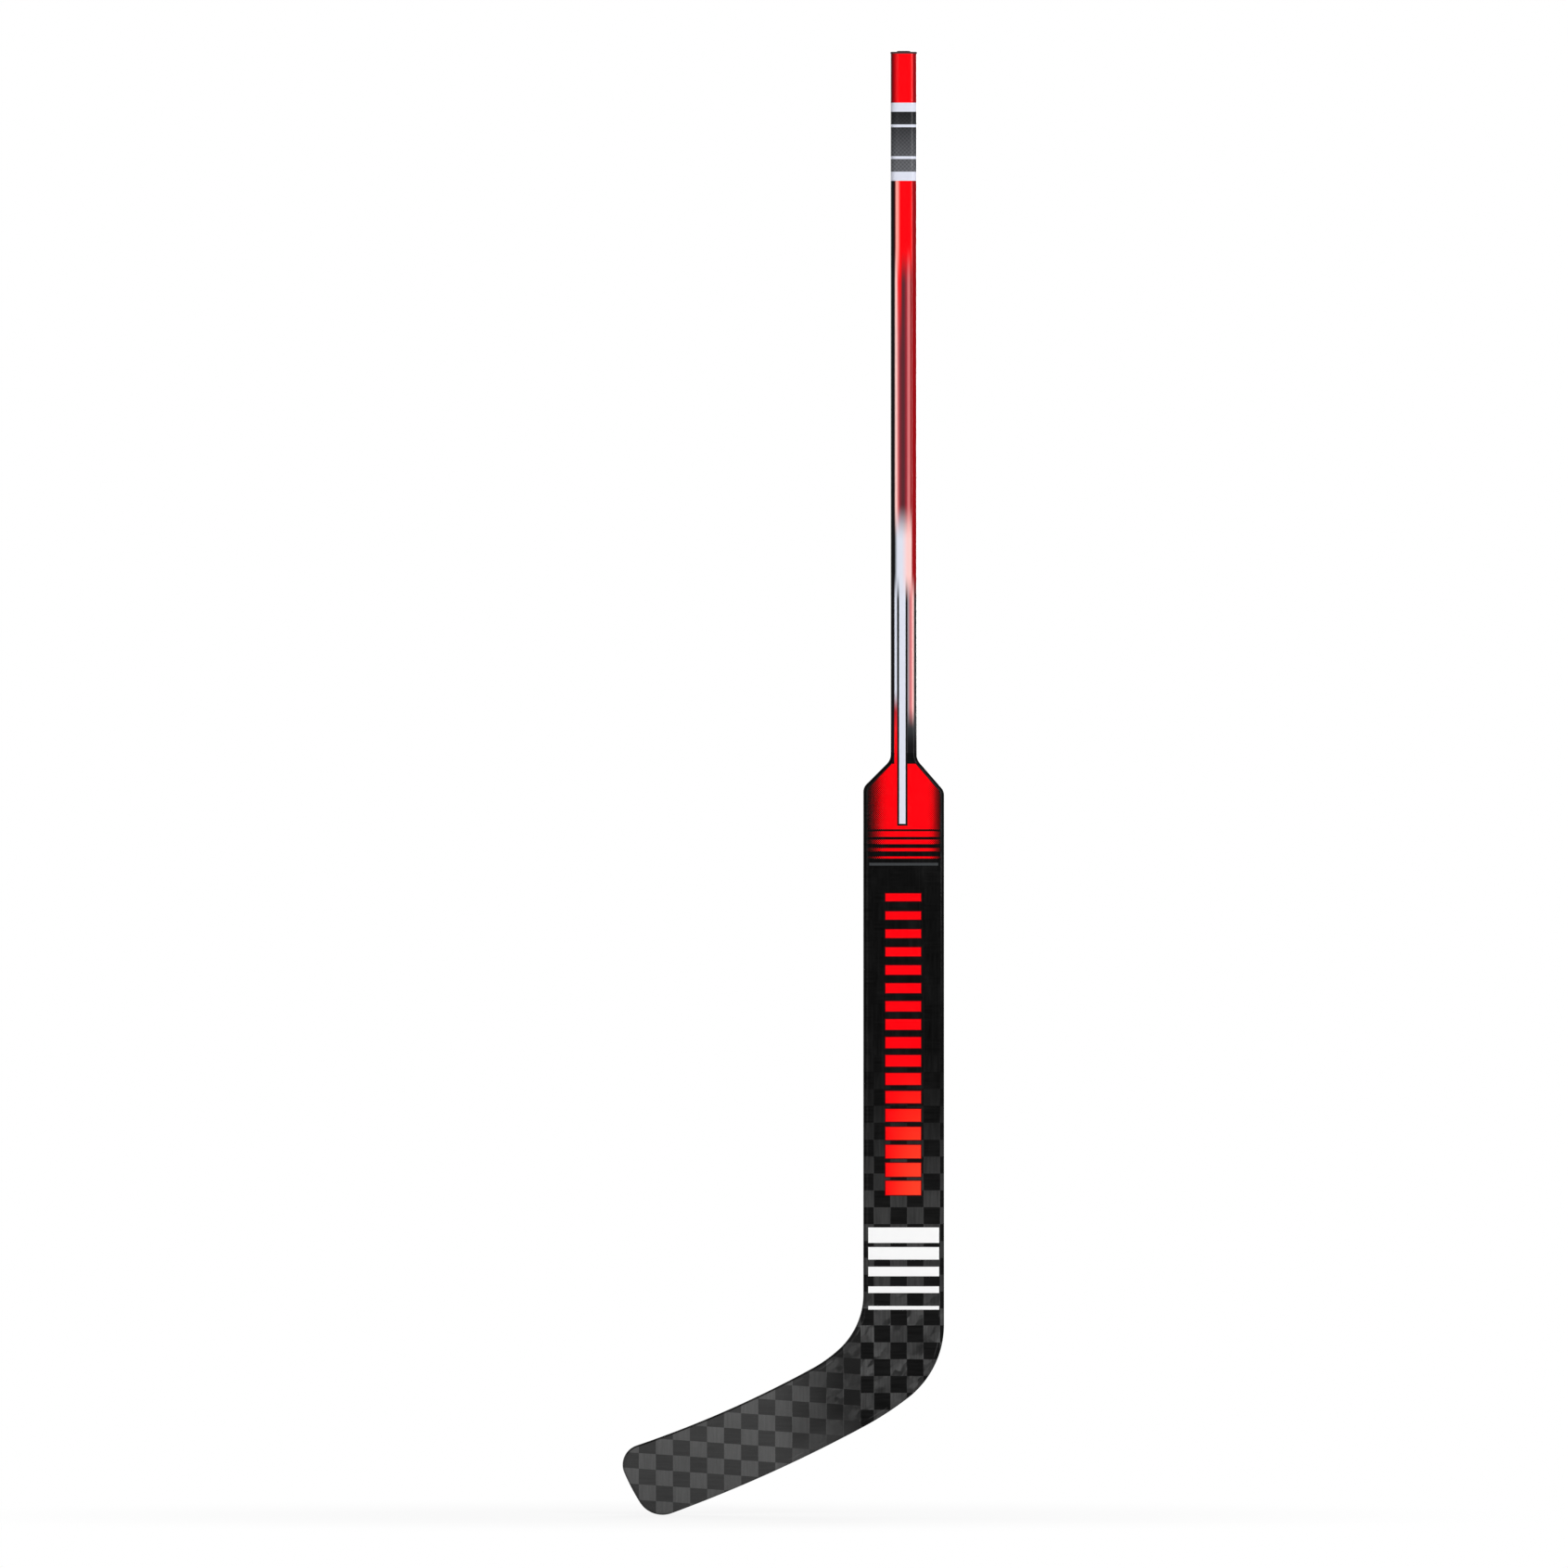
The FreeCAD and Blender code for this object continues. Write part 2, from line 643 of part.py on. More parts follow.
def butt_plug():
    body = new_body("butt_plug")
    seat = dim("shaft_length")
    rim = seat + dim("plug_flange")
    crown = rim + dim("plug_dome_rise")
    flange = new_sketch(body, "XY_Plane", "flange")
    raise_sketch(flange, seat)
    section(flange, -dim("plug_lip"))
    flange_pad = feature(body, "Pad", flange, dim("plug_flange"))
    round_edges(body, flange_pad, on_level(rim), dim("plug_flange_round"))
    dome = new_sketch(body, "XY_Plane", "dome")
    raise_sketch(dome, rim)
    rounded_rectangle(dome, dim("plug_dome_width"), dim("plug_dome_depth"), dim("plug_dome_corner"))
    dome_pad = feature(body, "Pad", dome, dim("plug_dome_rise"))
    round_edges(body, dome_pad, on_level(crown), dim("plug_dome_round"))
    shank = new_sketch(body, "XY_Plane", "shank")
    raise_sketch(shank, seat)
    section(shank, PLUG)
    feature(body, "Pad", shank, dim("plug_length"), reverse=True)
    ribs = new_sketch(body, "XY_Plane", "crush_ribs")
    raise_sketch(ribs, seat)
    rib_y = dim("shaft_depth") / 2 - PLUG + dim("crush_rib_rise") - dim("crush_rib_radius")
    for side in (-1, 1):
        for step in (-1, 0, 1):
            rib_x = dim("crush_rib_pitch") * step
            centre = vector(rib_x.value, side * rib_y.value)
            rib = ribs.addGeometry(Part.Circle(centre, vector(0, 0, 1), size["crush_rib_radius"]))
            measure(ribs, "Radius", (rib,), dim("crush_rib_radius"))
            place(ribs, "DistanceX", (rib, CENTRE), rib_x)
            place(ribs, "DistanceY", (rib, CENTRE), rib_y * side)
    feature(body, "Pad", ribs, dim("plug_length"), reverse=True)
    hollow = new_sketch(body, "XY_Plane", "hollow")
    raise_sketch(hollow, seat - dim("plug_length"))
    rounded_rectangle(hollow,
                      dim("shaft_width") - (PLUG + dim("plug_wall")) * 2,
                      dim("shaft_depth") - (PLUG + dim("plug_wall")) * 2,
                      dim("plug_hollow_corner"))
    feature(body, "Pocket", hollow, dim("plug_length") - dim("plug_wall"), reverse=True)
    return body


def neck_spigot():
    body = new_body("neck_spigot")
    lower = new_sketch(body, "XY_Plane", "lower")
    section(lower, SPIGOT_IN_PADDLE)
    feature(body, "Pad", lower, dim("spigot_down"), reverse=True)
    upper = new_sketch(body, "XY_Plane", "upper")
    section(upper, SPIGOT_IN_SHAFT)
    feature(body, "Pad", upper, dim("spigot_up"))
    bore = new_sketch(body, "XY_Plane", "bore")
    raise_sketch(bore, dim("spigot_up"))
    spigot_bore(bore)
    feature(body, "Pocket", bore, dim("spigot_up") + dim("spigot_down"))
    return body


def spigot_bore(sketch):
    rounded_rectangle(sketch, dim("shaft_width") - SPIGOT_BORE * 2, dim("shaft_depth") - SPIGOT_BORE * 2,
                      dim("spigot_bore_corner"))


def spigot_dam():
    body = new_body("spigot_dam")
    dam = new_sketch(body, "XY_Plane", "dam")
    raise_sketch(dam, SPIGOT_END)
    spigot_bore(dam)
    feature(body, "Pad", dam, dim("dam_length"))
    return body


for made in (shaft_tube(), butt_plug(), neck_spigot(), spigot_dam()):
    keep(made)


# Webs, foam and tongue, all cut from the cavity so that they bed on the skins

WEB_IN = dim("shaft_width") / 2 - SPIGOT_IN_PADDLE
WEB_OUT = WEB_IN + dim("rib_thickness")
PAST_EDGE = HALF_PADDLE + ROOM
HALF_SPAR = dim("rib_thickness") / 2


def fill(name, *limits):
    return keep(boolean("Common", name, cavity, block(name + "_block", *limits)))


for side, low, high in (("left", -WEB_OUT, -WEB_IN), ("right", WEB_IN, WEB_OUT)):
    fill("paddle_rib_" + side, low, high, HEEL_LINE, -dim("rib_top"))
for side, low, high in (("left", -PAST_EDGE, -WEB_OUT), ("right", WEB_OUT, PAST_EDGE)):
    fill("shoulder_block_" + side, low, high, SPIGOT_END, as_size(0))
    fill("paddle_core_" + side, low, high, HEEL_LINE, SPIGOT_END)
fill("paddle_core_centre", -WEB_IN, WEB_IN, HEEL_LINE, SPIGOT_END)
tongue = fill("blade_tongue", -dim("tongue_out"), dim("tongue_in"),
              -(dim("tongue_height") / 2), dim("tongue_height") / 2, "spar_fall")
fill("blade_rib", FAR_LEFT, -dim("tongue_out"), -HALF_SPAR, HALF_SPAR, "spar_fall")

heel = boolean("Common", "heel_all", cavity, block("heel_side", SEAM_X, PAST_EDGE, FAR_LEFT, HEEL_LINE))
keep(boolean("Cut", "heel_block", heel, tongue))
blade_hollow = boolean("Common", "blade_hollow", cavity, blade_side)
for name, low, high in (("upper", HALF_SPAR, FAR_RIGHT), ("lower", FAR_LEFT, -HALF_SPAR)):
    half = boolean("Common", "blade_%s_all" % name, blade_hollow,
                   block("blade_%s_side" % name, FAR_LEFT, FAR_RIGHT, low, high, "spar_fall"))
    keep(boolean("Cut", "blade_core_" + name, half, tongue))


# Check, then write

doc.recompute()
for made in doc.Objects:
    if "Invalid" in made.State or "Error" in made.State:
        raise RuntimeError("%s failed: %s" % (made.Label, made.State))
for made in nodes:
    if made.Shape.isNull() or not made.Shape.isValid() or len(made.Shape.Solids) != 1:
        raise RuntimeError("%s is not one sound solid" % made.Label)
os.makedirs("parts", exist_ok=True)
for made in nodes:
    made.Shape.exportStep("parts/%s.step" % made.Label)
    print("%-24s %9.1f mm3" % (made.Label, made.Shape.Volume))
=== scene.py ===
import bpy
import bmesh
import inspect
import math
import numpy as np
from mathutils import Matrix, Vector


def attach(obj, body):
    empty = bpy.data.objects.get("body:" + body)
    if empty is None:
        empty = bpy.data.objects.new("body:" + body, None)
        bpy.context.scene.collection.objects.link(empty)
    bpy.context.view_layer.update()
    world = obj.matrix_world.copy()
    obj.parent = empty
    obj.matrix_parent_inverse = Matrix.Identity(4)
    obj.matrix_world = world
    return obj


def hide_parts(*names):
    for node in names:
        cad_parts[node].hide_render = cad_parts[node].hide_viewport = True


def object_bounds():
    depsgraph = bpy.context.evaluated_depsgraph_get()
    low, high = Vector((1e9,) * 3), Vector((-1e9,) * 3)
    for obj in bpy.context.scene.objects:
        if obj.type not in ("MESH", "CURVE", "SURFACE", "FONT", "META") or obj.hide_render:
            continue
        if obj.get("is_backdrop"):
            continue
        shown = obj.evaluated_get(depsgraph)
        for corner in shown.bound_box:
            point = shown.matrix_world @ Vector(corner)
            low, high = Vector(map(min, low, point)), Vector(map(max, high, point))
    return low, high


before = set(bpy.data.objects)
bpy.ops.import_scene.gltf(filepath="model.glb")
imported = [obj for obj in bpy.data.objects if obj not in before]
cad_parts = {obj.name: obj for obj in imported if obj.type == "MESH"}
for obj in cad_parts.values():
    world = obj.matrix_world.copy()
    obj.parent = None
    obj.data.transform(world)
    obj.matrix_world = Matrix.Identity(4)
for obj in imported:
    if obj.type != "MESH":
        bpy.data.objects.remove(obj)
cadLow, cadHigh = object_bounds()
print("frame loaded with", len(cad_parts), "nodes")

mm = 0.001  # the stick's sizes are in millimetres, as in the CAD


class Named(dict):  # a dictionary whose entries can be read as names
    __getattr__ = dict.__getitem__


# Node helpers

class Wire:  # a node's output that can be reckoned with, so that effects read as formulas
    def __init__(self, socket):
        self.socket = socket
        self.tree = socket.id_data

    def __add__(self, other):
        return calc("ADD", self, other)

    def __sub__(self, other):
        return calc("SUBTRACT", self, other)

    def __rsub__(self, other):
        return calc("SUBTRACT", other, self)

    def __mul__(self, other):
        return calc("MULTIPLY", self, other)

    def __truediv__(self, other):
        return calc("DIVIDE", self, other)

    def __rtruediv__(self, other):
        return calc("DIVIDE", other, self)

    def __abs__(self):
        return calc("ABSOLUTE", self)


def addNode(tree, kind, **settings):
    made = tree.nodes.new(kind)
    for name, value in settings.items():
        setattr(made, name, value)
    return made


def feed(socket, value):
    if isinstance(value, Wire):
        value.tree.links.new(value.socket, socket)
    else:
        socket.default_value = value


def addFed(kind, given, **settings):  # a node beside the ones that feed it
    tree = next(value.tree for value in given.values() if isinstance(value, Wire))
    made = addNode(tree, kind, **settings)
    for label, value in given.items():
        feed(made.inputs[label], value)
    return made


def source(tree, kind, output=0, **settings):
    return Wire(addNode(tree, kind, **settings).outputs[output])


def wireFrom(kind, given, output=0, **settings):
    return Wire(addFed(kind, given, **settings).outputs[output])


def calc(operation, *values):
    return wireFrom("ShaderNodeMath", dict(enumerate(values)), operation=operation)


def most(first, second):
    return calc("MAXIMUM", first, second)


def ease(value, low, high, fromValue=0, toValue=1):
    given = dict(enumerate((value, low, high, fromValue, toValue)))
    return wireFrom("ShaderNodeMapRange", given, interpolation_type="SMOOTHSTEP")


def above(value, limit, soft=0.2):  # 1 above a limit, with a soft edge
    return ease(value, limit - soft, limit + soft)


def below(value, limit, soft=0.2):
    return ease(value, limit + soft, limit - soft)


def mixValues(factor, first, second):
    return wireFrom("ShaderNodeMix", {0: factor, 2: first, 3: second}, data_type="FLOAT")


def mixColours(factor, first, second):
    return wireFrom("ShaderNodeMix", {0: factor, 6: first, 7: second}, 2, data_type="RGBA")


def grey(value):
    return wireFrom("ShaderNodeCombineColor", {0: value, 1: value, 2: value})


def firstChannel(colour):
    return wireFrom("ShaderNodeSeparateColor", {0: colour})


def join(x, y, z=0):
    return wireFrom("ShaderNodeCombineXYZ", {0: x, 1: y, 2: z})


def noise(vector, scale, detail=2, distortion=0):
    given = {"Vector": vector, "Scale": scale, "Detail": detail, "Distortion": distortion}
    return wireFrom("ShaderNodeTexNoise", given)


def colourStops(value, stops):
    made = addFed("ShaderNodeValToRGB", {0: value})
    ramp = made.color_ramp
    while len(ramp.elements) < len(stops):
        ramp.elements.new(0.5)
    for element, (position, colour) in zip(ramp.elements, stops):
        element.position = position
        element.color = colour
    return Wire(made.outputs[0])


def readAttribute(tree, name):
    return source(tree, "ShaderNodeAttribute", "Fac", attribute_name=name)


def linear(channel):  # from sRGB to the linear light of shaders
    share = channel / 255
    return share / 12.92 if share <= 0.04045 else ((share + 0.055) / 1.055) ** 2.4


def ink(red, green, blue):
    return (linear(red), linear(green), linear(blue), 1)


def shaderGroup(effect):  # node group from a formula, whose arguments and results are its sockets
    group = bpy.data.node_groups.new(effect.__name__, "ShaderNodeTree")
    arguments = inspect.signature(effect).parameters
    inputs = [label for label in arguments if label != "tree"]
    for label in inputs:
        socket = group.interface.new_socket(label, in_out="INPUT", socket_type="NodeSocketFloat")
        socket.default_value = arguments[label].default
    entry = addNode(group, "NodeGroupInput").outputs
    results = effect(*(Wire(entry[label]) for label in inputs)) if inputs else effect(group)
    for label in results:
        group.interface.new_socket(label, in_out="OUTPUT", socket_type="NodeSocketFloat")
    ends = addNode(group, "NodeGroupOutput").inputs
    for label, value in results.items():
        feed(ends[label], value)
    return group


def useGroup(group, **values):
    made = addFed("ShaderNodeGroup", values, node_tree=group)
    return Named({socket.name: Wire(socket) for socket in made.outputs})


def newMaterial(name, constants):
    made = bpy.data.materials.new(name)
    made.use_nodes = True
    sockets = made.node_tree.nodes["Principled BSDF"].inputs
    for label, value in constants.items():
        sockets[label].default_value = value
    return made, made.node_tree, sockets


def bumpFrom(sockets, height, depth, strength):
    given = {"Strength": strength, "Distance": depth * mm, "Height": height}
    feed(sockets["Normal"], wireFrom("ShaderNodeBump", given))


# Shared effects

@shaderGroup
def stickPlace(tree):  # the surface point in millimetres
    parts = addFed("ShaderNodeSeparateXYZ", {0: source(tree, "ShaderNodeTexCoord", "Object")})
    return {axis: Wire(parts.outputs[axis.upper()]) * (1 / mm) for axis in "xyz"}


@shaderGroup
def softBand(value=0, low=0, high=1, soft=0.2):  # 1 between two limits, with soft edges
    return dict(mask=above(value, low, soft) * below(value, high, soft))


weaveLook = Named(
    driftScale=0.014, driftApart=40, linesAcross=0.4, linesAlong=0.03, lineLevels=(0.25, 0.75),
    brokenScale=0.05, brokenLevels=(0.38, 0.6), selvedge=(0.7, 0.1), crownShare=0.3, gapPower=0.3,
)


@shaderGroup
def towWeave(x=0, z=0, towX=18, towZ=18, shiftX=0, shiftZ=0, lean=0, wander=0.8):
    # plain weave of flat spread tows, warp upright and weft across, that wander a little
    look = weaveLook
    drifts = (noise(join(x, z, place), look.driftScale, detail=1) for place in (0, look.driftApart))
    swayX, swayZ = ((drift - 0.5) * wander for drift in drifts)
    column = (x + swayX - shiftX) / towX
    row = (x * lean + (z + swayZ) - shiftZ) / towZ
    columnCell, rowCell = calc("FLOOR", column), calc("FLOOR", row)
    inColumn, inRow = column - columnCell, row - rowCell
    check = calc("FLOORED_MODULO", columnCell + rowCell, 2)
    cell = {"Vector": join(columnCell, rowCell)}
    tint = wireFrom("ShaderNodeTexWhiteNoise", cell, "Value", noise_dimensions="2D")
    warp = noise(join(x * look.linesAcross, z * look.linesAlong), scale=1, detail=4)
    weft = noise(join(x * look.linesAlong, z * look.linesAcross), scale=1, detail=4)
    fibre = ease(mixValues(check, weft, warp), *look.lineLevels)
    # painted glint: a thin pale line at the edges of each upright tow, broken up in patches
    toSelvedge = calc("MINIMUM", inColumn, 1 - inColumn) * towX
    broken = ease(noise(join(x, z), look.brokenScale), *look.brokenLevels)
    selvedge = ease(toSelvedge, *look.selvedge) * broken
    away = [place * 2 - 1 for place in (inColumn, inRow)]
    columnRise, rowRise = (1 - off * off for off in away)  # 1 at a tow's middle, 0 at its edges
    crown = mixValues(check, rowRise, columnRise)
    height = crown * look.crownShare + calc("POWER", columnRise * rowRise, look.gapPower)
    return dict(check=check, tint=tint, fibre=fibre, selvedge=selvedge, height=height)


creaseLook = Named(
    slantX=0.5, slantZ=0.35, crossX=0.7, crossZ=0.9, bendScale=0.9, smooth=0.45,
    patchScale=0.22, patchLevels=(0.34, 0.56),
)


# painted light and shade: each crumpled facet is lighter or darker as if it caught the light at its own
# slant
@shaderGroup
def clothCrease(x=0, z=0, size=7, strength=1.35):  # soft slanting facets of crumpled tows, in patches
    look = creaseLook
    x, z = x / size, z / size
    slant = x * look.slantX + z * look.slantZ
    cross = z * look.crossZ - x * look.crossX
    bent = cross + noise(join(x, z), look.bendScale)
    given = {"Vector": join(slant, bent), "Scale": 1, "Smoothness": look.smooth}
    facets = wireFrom("ShaderNodeTexVoronoi", given, "Color", feature="SMOOTH_F1")
    patches = ease(noise(join(x, z), look.patchScale, detail=1), *look.patchLevels)
    return dict(factor=(firstChannel(facets) - 0.5) * strength * patches + 1)


foldLook = Named(lineScale=0.07, lineWidth=(0.8, 0.15), patchScale=0.045, patchLevels=(0.45, 0.6))


# painted highlight: a broken pale line where light catches a fold beside the edge
@shaderGroup
def edgeFold(x=0, z=0, edge=0, inset=5, wander=3):  # broken pale line that wanders beside the edge
    look = foldLook
    point = join(x, z)
    line = (noise(point, look.lineScale) - 0.5) * wander + inset
    patches = ease(noise(point, look.patchScale), *look.patchLevels)
    return dict(mask=ease(abs(edge - line), *look.lineWidth) * patches)


dotLook = Named(swing=0.24, soft=0.1)


@shaderGroup
def dotScreen(x=0, z=0, pitch=1.6, tone=0.5):  # printed dots that grow with the tone
    turn = math.sqrt(2) * math.pi
    rising, falling = (calc("COSINE", place * turn / pitch) for place in (x + z, x - z))
    level = (rising + falling) * dotLook.swing + 0.5
    return dict(mask=ease(tone - level, -dotLook.soft, dotLook.soft))


@shaderGroup
def barScreen(along=0, top=0, pitch=20, count=10, first=0.2, last=0.8, grow=0, soft=0.2):
    # level bars, counted downwards, whose thickness changes from the first share of the pitch to the last
    down = (top - along) / pitch
    bar = calc("FLOOR", down)
    share = mixValues(bar / (count - 1), first, last)
    room = share * 0.5 - abs(down - bar - 0.5)  # left to the bar's edge
    counted = calc("GREATER_THAN", bar, -0.5) * calc("LESS_THAN", bar, count - 0.5)
    return dict(mask=ease(room * pitch + grow, soft * -1, soft) * counted)


lacquerLook = Named(
    peelScale=0.55, marksAcross=1.4, marksAlong=0.05, markLevels=(0.55, 0.75), patchScale=0.02,
)


@shaderGroup
def clearLacquer(x=0, y=0, z=0):  # orange peel and faint rubbing marks in the clear coat
    look = lacquerLook
    point = join(x, y, z)
    drawn = join(x * look.marksAcross, y * look.marksAcross, z * look.marksAlong)
    marks = ease(noise(drawn, scale=1, detail=4), *look.markLevels)
    patches = noise(point, look.patchScale, detail=1)
    return dict(peel=noise(point, look.peelScale), rubbed=marks * patches)


@shaderGroup
def cellFoam(x=0, y=0, z=0, cell=1.2):  # closed cells of rigid foam
    made = addFed("ShaderNodeTexVoronoi", {"Vector": join(x, y, z), "Scale": 1 / cell}, feature="F1")
    colour, distance = (Wire(made.outputs[label]) for label in ("Color", "Distance"))
    wallStart, wallMiddle = 0.3, 0.7  # cell sizes from the middle of a cell
    return dict(cell=firstChannel(colour), wall=ease(distance, wallStart, wallMiddle))


print("shared effects made")


def placeIn(tree):
    made = addNode(tree, "ShaderNodeGroup", node_tree=stickPlace)
    return [Wire(socket) for socket in made.outputs]


def band(value, low, high, soft=0.2):
    return useGroup(softBand, value=value, low=low, high=high, soft=soft).mask


# Outline of the paddle and blade, the same sizes as in the CAD

outlineSizes = Named(
    shaftWidth=28.6, neckRun=1.5, neckRadius=15, shoulderRadius=12, turnLeft=45, turnRight=41,
    paddleWidth=88.9, paddleRun=595.6,
    elbowRadius=83, elbowTurn=47.5, elbowEase=150, elbowEaseTurn=13.8, topRocker=1230,
    heelDrop=34, heelRadius=102, heelTurn=52.2, heelEase=358, heelEaseTurn=9.5, bottomRocker=1680,
    toeReach=255.4, toeFall=214.3, toeLean=27.6, toeRadius=252, toeTop=22.5, toeBottom=29.5,
    lineStep=6, arcStep=3, arcTurn=5, leastSteps=3,
)


def fall(degrees):
    return Vector((math.cos(math.radians(degrees)), -math.sin(math.radians(degrees))))


def meeting(first, firstReach, second, secondReach):  # the left one of the two points where circles cross
    apart = second - first
    along = (firstReach ** 2 - secondReach ** 2 + apart.length ** 2) / (2 * apart.length)
    aside = math.sqrt(firstReach ** 2 - along ** 2)
    ahead = apart.normalized()
    across = Vector((-ahead.y, ahead.x)) * aside
    foot = first + ahead * along
    return min((foot + across, foot - across), key=lambda point: point.x)


def onCircle(centre, towards, radius):
    return centre + (towards - centre).normalized() * radius


def shoulderPoints(size, side, turn):
    neckX, edgeX = size.shaftWidth / 2, size.paddleWidth / 2
    drawnIn = (size.neckRadius + size.shoulderRadius) * (1 - math.cos(math.radians(turn)))
    slope = (edgeX - neckX - drawnIn) / math.sin(math.radians(turn))
    neckStart = Vector((neckX, -size.neckRun))
    neckCentre = neckStart + Vector((size.neckRadius, 0))
    inward = -fall(-turn)
    neckEnd = neckCentre + inward * size.neckRadius
    lineEnd = neckEnd + Vector((-inward.y, inward.x)) * slope
    edgeCentre = lineEnd + inward * size.shoulderRadius
    edgeStart = Vector((edgeX, edgeCentre.y))
    points = (neckStart, neckEnd, lineEnd, edgeStart, neckCentre, edgeCentre)
    return [Vector((side * point.x, point.y)) for point in points]


def easedBend(size, name, centre, rocker):  # arc, wider arc and rocker that run into each other
    turn, wider = size[name + "Turn"], size[name + "Ease"]
    ahead, easedAhead = fall(turn), fall(turn + size[name + "EaseTurn"])
    end = centre + ahead * size[name + "Radius"]
    easeCentre = end - ahead * wider
    easeEnd = easeCentre + easedAhead * wider
    return end, easeCentre, easeEnd, easeEnd - easedAhead * rocker


def outlineSteps(size):  # end point, centre and turn of each line or arc, leftward round from the neck
    half = size.paddleWidth / 2
    elbowZ = -size.paddleRun
    heelZ = elbowZ - size.heelDrop
    elbow = Vector((-half - size.elbowRadius, elbowZ))
    elbowEnd, elbowEase, topStart, top = easedBend(size, "elbow", elbow, size.topRocker)
    heel = Vector((half - size.heelRadius, heelZ))
    heelStart, heelEase, bottomEnd, bottom = easedBend(size, "heel", heel, size.bottomRocker)
    toeMiddle = Vector((-half - size.toeReach, elbowZ - size.toeFall))
    toe = toeMiddle + fall(-size.toeLean) * size.toeRadius
    upper = meeting(top, size.topRocker + size.toeTop, toe, size.toeRadius - size.toeTop)
    lower = meeting(bottom, size.bottomRocker - size.toeBottom, toe, size.toeRadius - size.toeBottom)
    left = shoulderPoints(size, -1, size.turnLeft)
    right = shoulderPoints(size, 1, size.turnRight)
    return (
        (left[0], None, 0), (left[1], left[4], -1), (left[2], None, 0), (left[3], left[5], 1),
        (Vector((-half, elbowZ)), None, 0),
        (elbowEnd, elbow, -1), (topStart, elbowEase, -1),
        (onCircle(top, upper, size.topRocker), top, -1),
        (onCircle(toe, upper, size.toeRadius), upper, 1),
        (onCircle(toe, lower, size.toeRadius), toe, 1),
        (onCircle(bottom, lower, size.bottomRocker), lower, 1),
        (bottomEnd, bottom, 1), (heelStart, heelEase, 1),
        (Vector((half, heelZ)), heel, 1),
        (right[3], None, 0), (right[2], right[5], 1), (right[1], None, 0), (right[0], right[4], -1),
        (Vector((size.shaftWidth / 2, 0)), None, 0),
    )


def outlinePoints(size):  # points with their outward directions
    found = []
    before = Vector((-size.shaftWidth / 2, 0))
    for end, centre, turn in outlineSteps(size):
        if centre is None:
            ahead = (end - before).normalized()
            outward = Vector((ahead.y, -ahead.x))
            count = max(1, round((end - before).length / size.lineStep))
            found += [(before.lerp(end, k / count), outward) for k in range(count)]
        else:
            first, last = before - centre, end - centre
            sweep = abs(first.angle(last))
            steps = max(sweep * first.length / size.arcStep, math.degrees(sweep) / size.arcTurn)
            count = max(size.leastSteps, math.ceil(steps))
            start = math.atan2(first.y, first.x)
            for k in range(count):
                angle = start + turn * sweep * k / count
                away = Vector((math.cos(angle), math.sin(angle)))
                found.append((centre + away * first.length, away * turn))
        before = end
    found.append((before, Vector((1, 0))))
    return found


outline = outlinePoints(outlineSizes)
print("outline drawn with", len(outline), "points")


# Side profile: the paddle tapers down to a tilted bend line and the blade curves back below it

profileSizes = Named(
    paddleDepth=20, elbowDepth=14, toeDepth=9.2, taperLength=420,
    bendDepth=44, bendTilt=15, bendDrop=44.4, bendPastToe=60,
)
bendTurn = math.radians(profileSizes.bendTilt)
bendX = -outlineSizes.paddleWidth / 2
bendZ = -outlineSizes.paddleRun - profileSizes.bendDrop


def bendPlace(x, z):  # distance above the bend line
    return (x - bendX) * math.sin(bendTurn) + (z - bendZ) * math.cos(bendTurn)


def arcFrom(start, heading, end):
    aside = Vector((-heading.y, heading.x))
    chord = end - start
    return start + aside * (chord.length_squared / (2 * chord.dot(aside)))


def onArc(centre, radius, v, side):
    return centre.x - side * math.sqrt(radius ** 2 - (v - centre.y) ** 2)


def faceArcs(side):  # the near face is side -1, the far face 1
    size = profileSizes
    taperTop = Vector((side * size.paddleDepth / 2, size.taperLength))
    elbow = Vector((side * size.elbowDepth / 2, 0))
    toe = Vector((size.bendDepth + side * size.toeDepth / 2, -bendEnd))
    taper = arcFrom(taperTop, Vector((0, -1)), elbow)
    heading = Vector((taper.y - elbow.y, elbow.x - taper.x)).normalized() * -side
    return taperTop, taper, (taper - taperTop).length, arcFrom(elbow, heading, toe), elbow


def faceDepth(side, x, z):
    v = bendPlace(x, z)
    taperTop, taper, taperRadius, bend, elbow = arcs[side]
    if v >= taperTop.y:
        return taperTop.x
    if v >= 0:
        return onArc(taper, taperRadius, v, -side)
    return onArc(bend, (bend - elbow).length, v, 1)


def middleDepth(x, z):  # where the two halves part
    v = bendPlace(x, z)
    depth = profileSizes.bendDepth
    radius = (depth ** 2 + bendEnd ** 2) / (2 * depth)
    return radius - math.sqrt(radius ** 2 - v ** 2) if v < 0 else 0


toeX, toeZ = bendX - outlineSizes.toeReach, -outlineSizes.paddleRun - outlineSizes.toeFall
bendEnd = profileSizes.bendPastToe - bendPlace(toeX, toeZ)
arcs = {side: faceArcs(side) for side in (-1, 1)}


# Maps for baking: each skin is unrolled flat, and folded into strips that lie side by side

bakeSizes = Named(gapAcross=3, gapAlong=6, insideShare=0.03, insideMargin=0.2, skinStrips=2, shaftStrips=3,
                  lean=dict(paddle=0, blade=64))
flatNames = ("flatAcross", "flatAlong", "inside")


def addFlatLayers(bm):
    return [bm.verts.layers.float.new(name) for name in flatNames]


def readAll(items, label, kind=float):
    found = np.zeros(len(items), kind)
    items.foreach_get(label, found)
    return found


